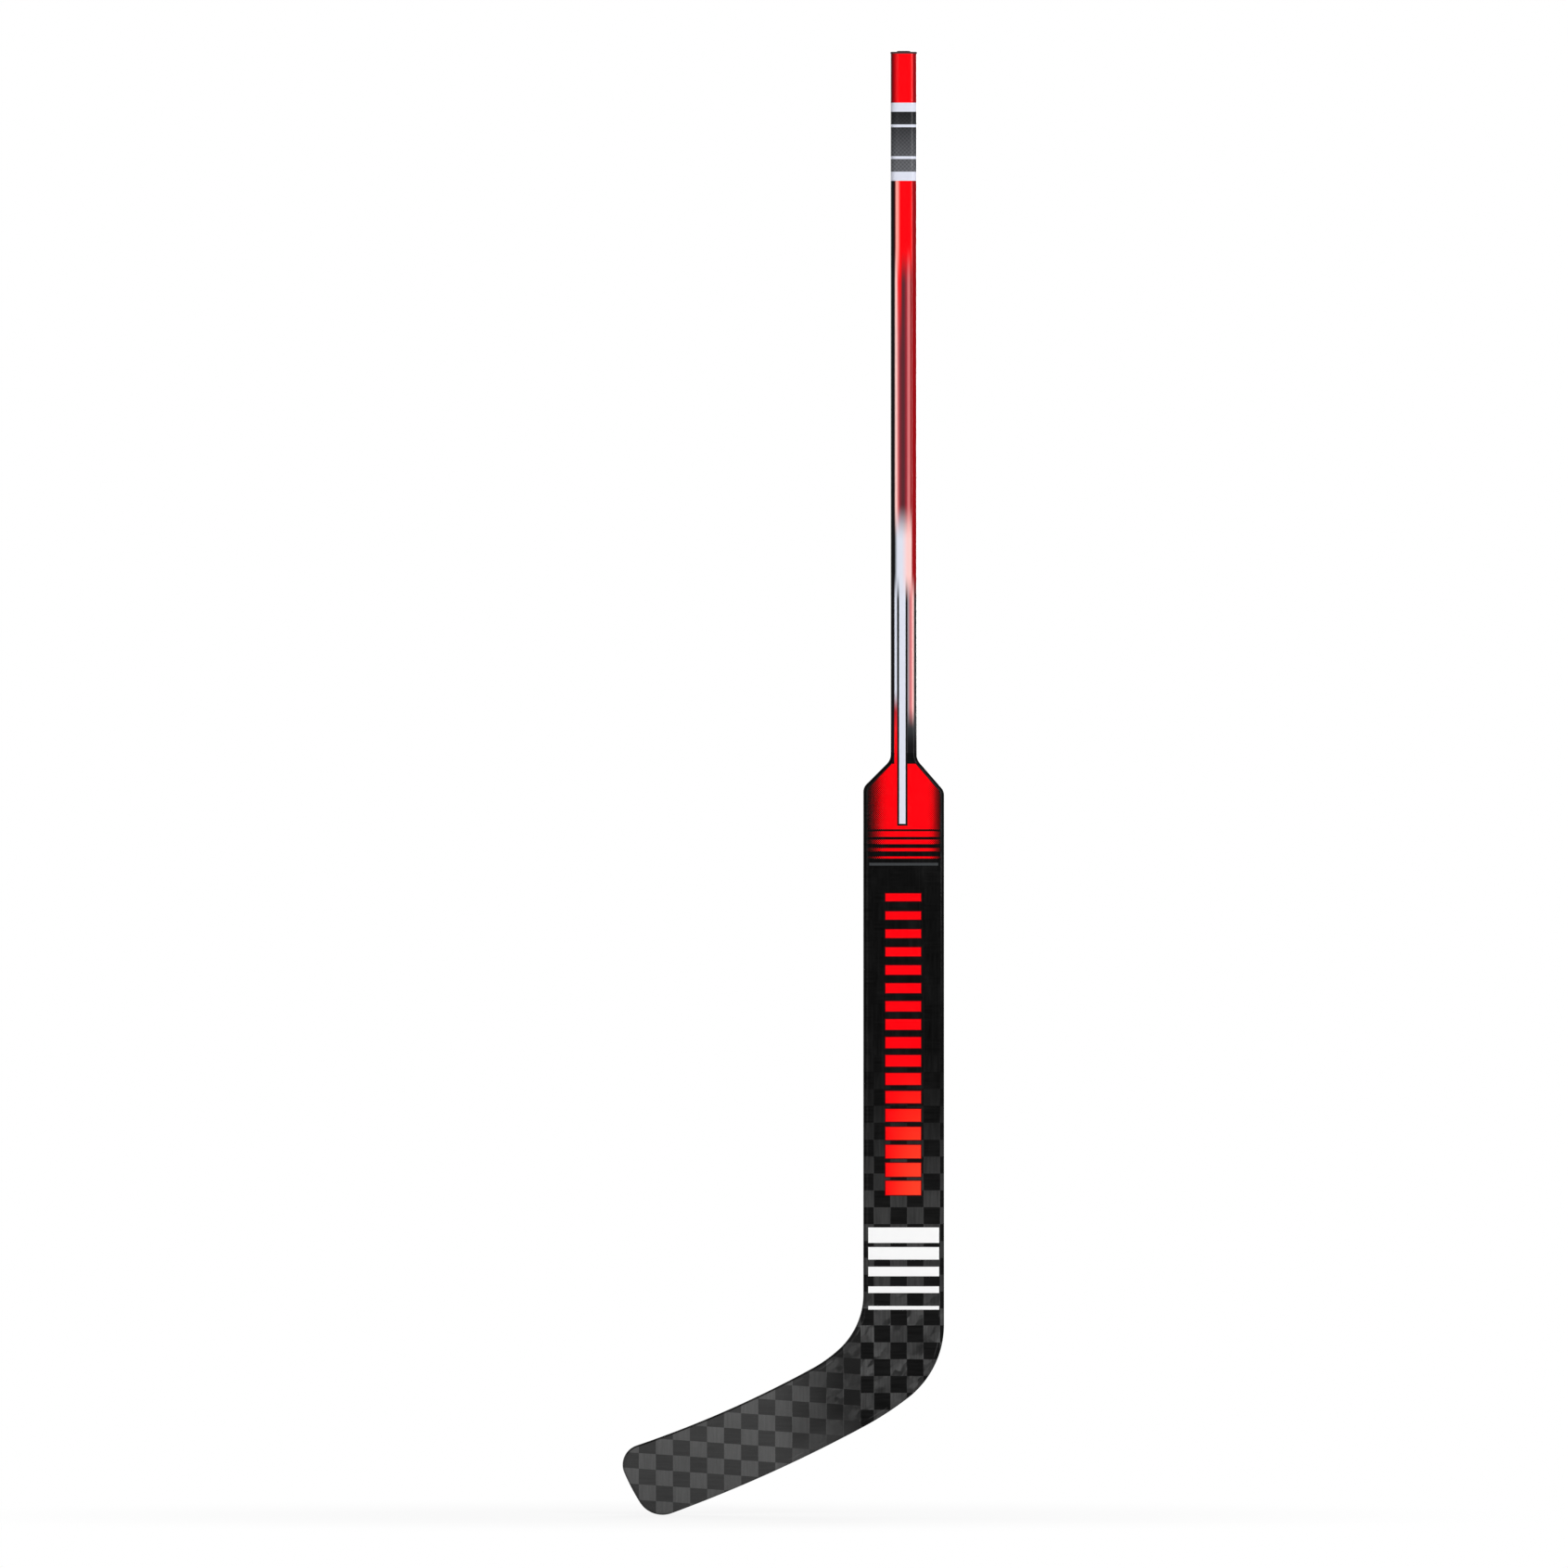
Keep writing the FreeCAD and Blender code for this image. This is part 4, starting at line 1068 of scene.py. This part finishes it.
def makeShaftLacquer():
    look = shaftLook
    constants = {"Specular IOR Level": 0.02, "Coat Weight": 0.06, "Coat Roughness": 0.1}
    made, tree, sockets = newMaterial("shaftLacquer", constants)
    x, y, z = placeIn(tree)
    lacquer = useGroup(clearLacquer, x=x, y=y, z=z)
    across = x * (calc("SIGN", y) * -1)  # from the left, whichever broad face is looked at

    # lengthwise stripes, from the top down: red with a pale sheen, maroon, silver, and bars at the neck
    stripes = stripesAcross(across)
    dots = useGroup(dotScreen, x=across, z=z, **look.dots).mask
    dots *= band(across, *look.dotsAcross) * look.dotShare
    colour = mixColours(dots, stripes["maroon"], inks.pale)
    warm = ease(z, *look.warmUp) * band(across, *look.warmAcross)
    colour = mixColours(warm, colour, inks.brightRed)
    for name, limits in look.zones.items():
        colour = mixColours(ease(z, *limits), colour, stripes[name])

    # staggered ends of the bars above the neck
    red = mixColours(ease(z, *look.redDown), inks.wine, inks.brightRed)
    dusk = mixColours(ease(z, *look.duskDown), inks.slate, inks.black)
    for (low, high, end), paint in ((look.redBar, red), (look.duskBar, dusk)):
        bar = band(across, low, high) * below(z, end, look.barFade)
        colour = mixColours(bar, colour, paint)

    # red top with painted shade on its rounded edges, and a charcoal band edged with straight silver lines
    # below it
    foot, top, edge = look.bandFoot, look.bandTop, look.bandEdge
    charcoal = mixColours(ease(z, foot, top), inks.ash, inks.charcoal)
    check = useGroup(towWeave, x=x, z=z, **look.bandWeave).check
    charcoal = mixColours(check * look.bandCheck, charcoal, inks.black)
    colour = mixColours(band(z, foot, top), colour, charcoal)
    for low, high in ((foot, foot + edge), (top - edge, top)) + look.bandLines:
        colour = mixColours(band(z, low, high), colour, inks.silver)
    colour = mixColours(above(z, top), colour, stripes["plainRed"])

    # thin line along each narrow side, where the prints of the two broad faces meet
    beside = below(abs(y), look.sideLine, look.sideSoft) * calc("LESS_THAN", z, foot)
    beside *= calc("GREATER_THAN", abs(x), look.sideFrom)
    feed(sockets["Base Color"], mixColours(beside, colour, inks.silver))
    feed(sockets["Roughness"], lacquer.rubbed * look.rubbedRough + look.rough)
    bumpFrom(sockets, lacquer.peel, look.relief, look.strength)
    return made


def plasticGrain(look, x, y, z):
    grain = noise(join(x, y, z), look.grain, detail=3)
    return grain, grain, grain


def foamCells(look, x, y, z):
    cells = useGroup(cellFoam, x=x, y=y, z=z, cell=look.cell)
    return cells.cell * look.cellShare + cells.wall, cells.wall, cells.wall


def laminateTows(look, x, y, z):
    weave = useGroup(towWeave, x=x, z=z, towX=look.tow, towZ=look.tow, wander=look.wander)
    tone = weave.fibre * look.fibreShare + weave.check * (1 - look.fibreShare)
    return tone, weave.fibre, weave.height


def woodPlies(look, x, y, z):  # thin plies glued face to face, with the grain along the piece
    cosine, sine = math.cos(math.radians(look.lean)), math.sin(math.radians(look.lean))
    along = x * cosine + z * sine
    aside = z * cosine - x * sine
    grain = noise(join(along * look.drawnOut, y, aside), look.grain, detail=4, distortion=look.waver)
    glue = ease(calc("PINGPONG", y, look.ply), *look.glueLine)
    tone = ease(grain, *look.grainLevels) * (1 - glue)
    return tone, grain, tone


def makePlain(name, effect, look):
    made, tree, sockets = newMaterial(name, {"Specular IOR Level": 0.2})
    tone, grain, height = effect(look, *placeIn(tree))
    feed(sockets["Base Color"], mixColours(tone, look.dark, look.light))
    feed(sockets["Roughness"], grain * look.grainRough + look.rough)
    bumpFrom(sockets, height, look.relief, look.strength)
    return made


plastic = Named(dark=ink(46, 24, 26), light=ink(66, 42, 44), grain=2.2,
                rough=0.4, grainRough=0.25, relief=0.05, strength=0.5)
carbon = Named(wander=0.2, fibreShare=0.5, rough=0.4, grainRough=0.2, relief=0.1, strength=0.5)
laminate = Named(carbon, dark=ink(24, 24, 26), light=ink(70, 70, 72), tow=3)
web = Named(carbon, dark=ink(22, 22, 24), light=ink(66, 66, 68), tow=2)
wood = Named(dark=ink(140, 98, 58), light=ink(204, 164, 112), lean=22.9, ply=1.2,
             glueLine=(0.2, 0.05), grain=0.9, drawnOut=0.06, waver=0.6, grainLevels=(0.3, 0.7),
             rough=0.5, grainRough=0.2, relief=0.08, strength=0.5)
foam = Named(cellShare=0.4, rough=0.7, grainRough=0.2, relief=0.3, strength=0.6)
lightFoam = Named(foam, dark=ink(196, 180, 142), light=ink(236, 226, 196), cell=1.4)
denseFoam = Named(foam, dark=ink(158, 128, 82), light=ink(206, 180, 128), cell=0.8)


def dress(piece, material):
    piece.data.materials.clear()
    piece.data.materials.append(material)


for sideName, turned in (("front", 1), ("back", -1)):
    dress(skins["paddle", sideName], makePaddleCloth("paddleCloth" + sideName.capitalize(), turned))
bladeCloth = makeBladeCloth("bladeCloth")
for sideName in ("front", "back"):
    dress(skins["blade", sideName], bladeCloth)
dress(shaftTube, makeShaftLacquer())
dress(buttPlug, makePlain("plugPlastic", plasticGrain, plastic))

hiddenPieces = (
    (makePlain("carbonLaminate", laminateTows, laminate), (
        "neck_spigot", "paddle_front_laminate", "paddle_back_laminate", "blade_front_laminate",
        "blade_back_laminate")),
    (makePlain("carbonWeb", laminateTows, web), ("paddle_rib_left", "paddle_rib_right", "blade_rib")),
    (makePlain("tongueWood", woodPlies, wood), ("blade_tongue",)),
    (makePlain("lightFoam", foamCells, lightFoam), (
        "spigot_dam", "paddle_core_left", "paddle_core_right", "paddle_core_centre", "blade_core_upper",
        "blade_core_lower")),
    (makePlain("denseFoam", foamCells, denseFoam), (
        "shoulder_block_left", "shoulder_block_right", "heel_block")),
)
for material, nodeNames in hiddenPieces:
    for nodeName in nodeNames:
        dress(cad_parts[nodeName], material)
print("finishes assigned")


# Floor, lights and camera, in metres

stageSizes = Named(
    floorSize=60, floorX=-0.2, floorShade=0.86, floorRough=0.9,
    shadowShare=0.16, shadowNear=0.2, shadowFar=1, worldFill=0.16,
)


def whiteRays(tree):  # what the camera, a gloss or a clear piece sees of the studio is white
    path = addNode(tree, "ShaderNodeLightPath").outputs
    kinds = ("Camera", "Glossy", "Transmission")
    camera, glossy, clear = (Wire(path["Is %s Ray" % kind]) for kind in kinds)
    return most(camera, most(glossy, clear))


def buildFloor():
    size = stageSizes
    half, shade = size.floorSize / 2, size.floorShade
    bm = bmesh.new()
    corners = ((-half, -half), (half, -half), (half, half), (-half, half))
    bm.faces.new([bm.verts.new((x, y, 0)) for x, y in corners])
    floor = finishMesh(bm, "studioFloor")
    floor.location = (size.floorX, 0, cadLow.z)
    constants = {"Base Color": (shade, shade, shade, 1), "Roughness": size.floorRough,
                 "Specular IOR Level": 0.1}
    made, tree, sockets = newMaterial("floorPaper", constants)
    point = source(tree, "ShaderNodeTexCoord", "Object")
    away = wireFrom("ShaderNodeVectorMath", {0: point}, "Value", operation="LENGTH")
    white = ease(away, size.shadowNear, size.shadowFar, 1 - size.shadowShare, 1)
    paper = Wire(tree.nodes["Principled BSDF"].outputs[0])
    glow = source(tree, "ShaderNodeEmission")
    both = wireFrom("ShaderNodeMixShader", {0: whiteRays(tree) * white, 1: paper, 2: glow})
    feed(tree.nodes["Material Output"].inputs["Surface"], both)
    dress(floor, made)
    floor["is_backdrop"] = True


def buildWorld():
    world = bpy.data.worlds.new("studio")
    world.use_nodes = True
    sky = world.node_tree.nodes["Background"].inputs
    sky["Color"].default_value = (1, 1, 1, 1)
    feed(sky["Strength"], mixValues(whiteRays(world.node_tree), stageSizes.worldFill, 1))
    bpy.context.scene.world = world


lamps = (
    Named(name="keySoftbox", at=(1.8, -3.8, 1), aim=(0, 0, -0.1), wide=0.7, high=2.6, power=128),
    Named(name="fillSoftbox", at=(-0.9, -4.2, 0.4), aim=(-0.1, 0, -0.2), wide=1, high=2.4, power=24),
    Named(name="backSoftbox", at=(0.9, 3.8, 1.2), aim=(0, 0, -0.1), wide=1.2, high=2.4, power=100),
    Named(name="backFillSoftbox", at=(-2.8, 2.6, 0.6), aim=(0, 0, -0.1), wide=1.2, high=2.4, power=45),
)


def addLamp(lamp):
    light = bpy.data.lights.new(lamp.name, "AREA")
    light.shape = "RECTANGLE"
    light.size, light.size_y = lamp.wide, lamp.high
    light.energy = lamp.power
    placed = addObject(lamp.name, light)
    placed.location = lamp.at
    placed.rotation_euler = (Vector(lamp.aim) - Vector(lamp.at)).to_track_quat("-Z", "Y").to_euler()
    placed.visible_camera = False


cameraSizes = Named(
    distance=40, frameWide=1.7269, centreX=-0.1318, centreZ=-0.0342, sensor=36, farthest=200,
)


def addCamera():
    size = cameraSizes
    lens = bpy.data.cameras.new("photoCamera")
    lens.sensor_width = size.sensor
    lens.lens = size.sensor * size.distance / size.frameWide
    lens.clip_end = size.farthest
    camera = addObject("photoCamera", lens)
    camera.location = (size.centreX, -size.distance, size.centreZ)
    camera.rotation_euler = (math.radians(90), 0, 0)
    bpy.context.scene.camera = camera


buildFloor()
buildWorld()
for lamp in lamps:
    addLamp(lamp)
addCamera()
bpy.context.scene.view_settings.view_transform = "Standard"
print("stage set")

sceneLow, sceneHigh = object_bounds()
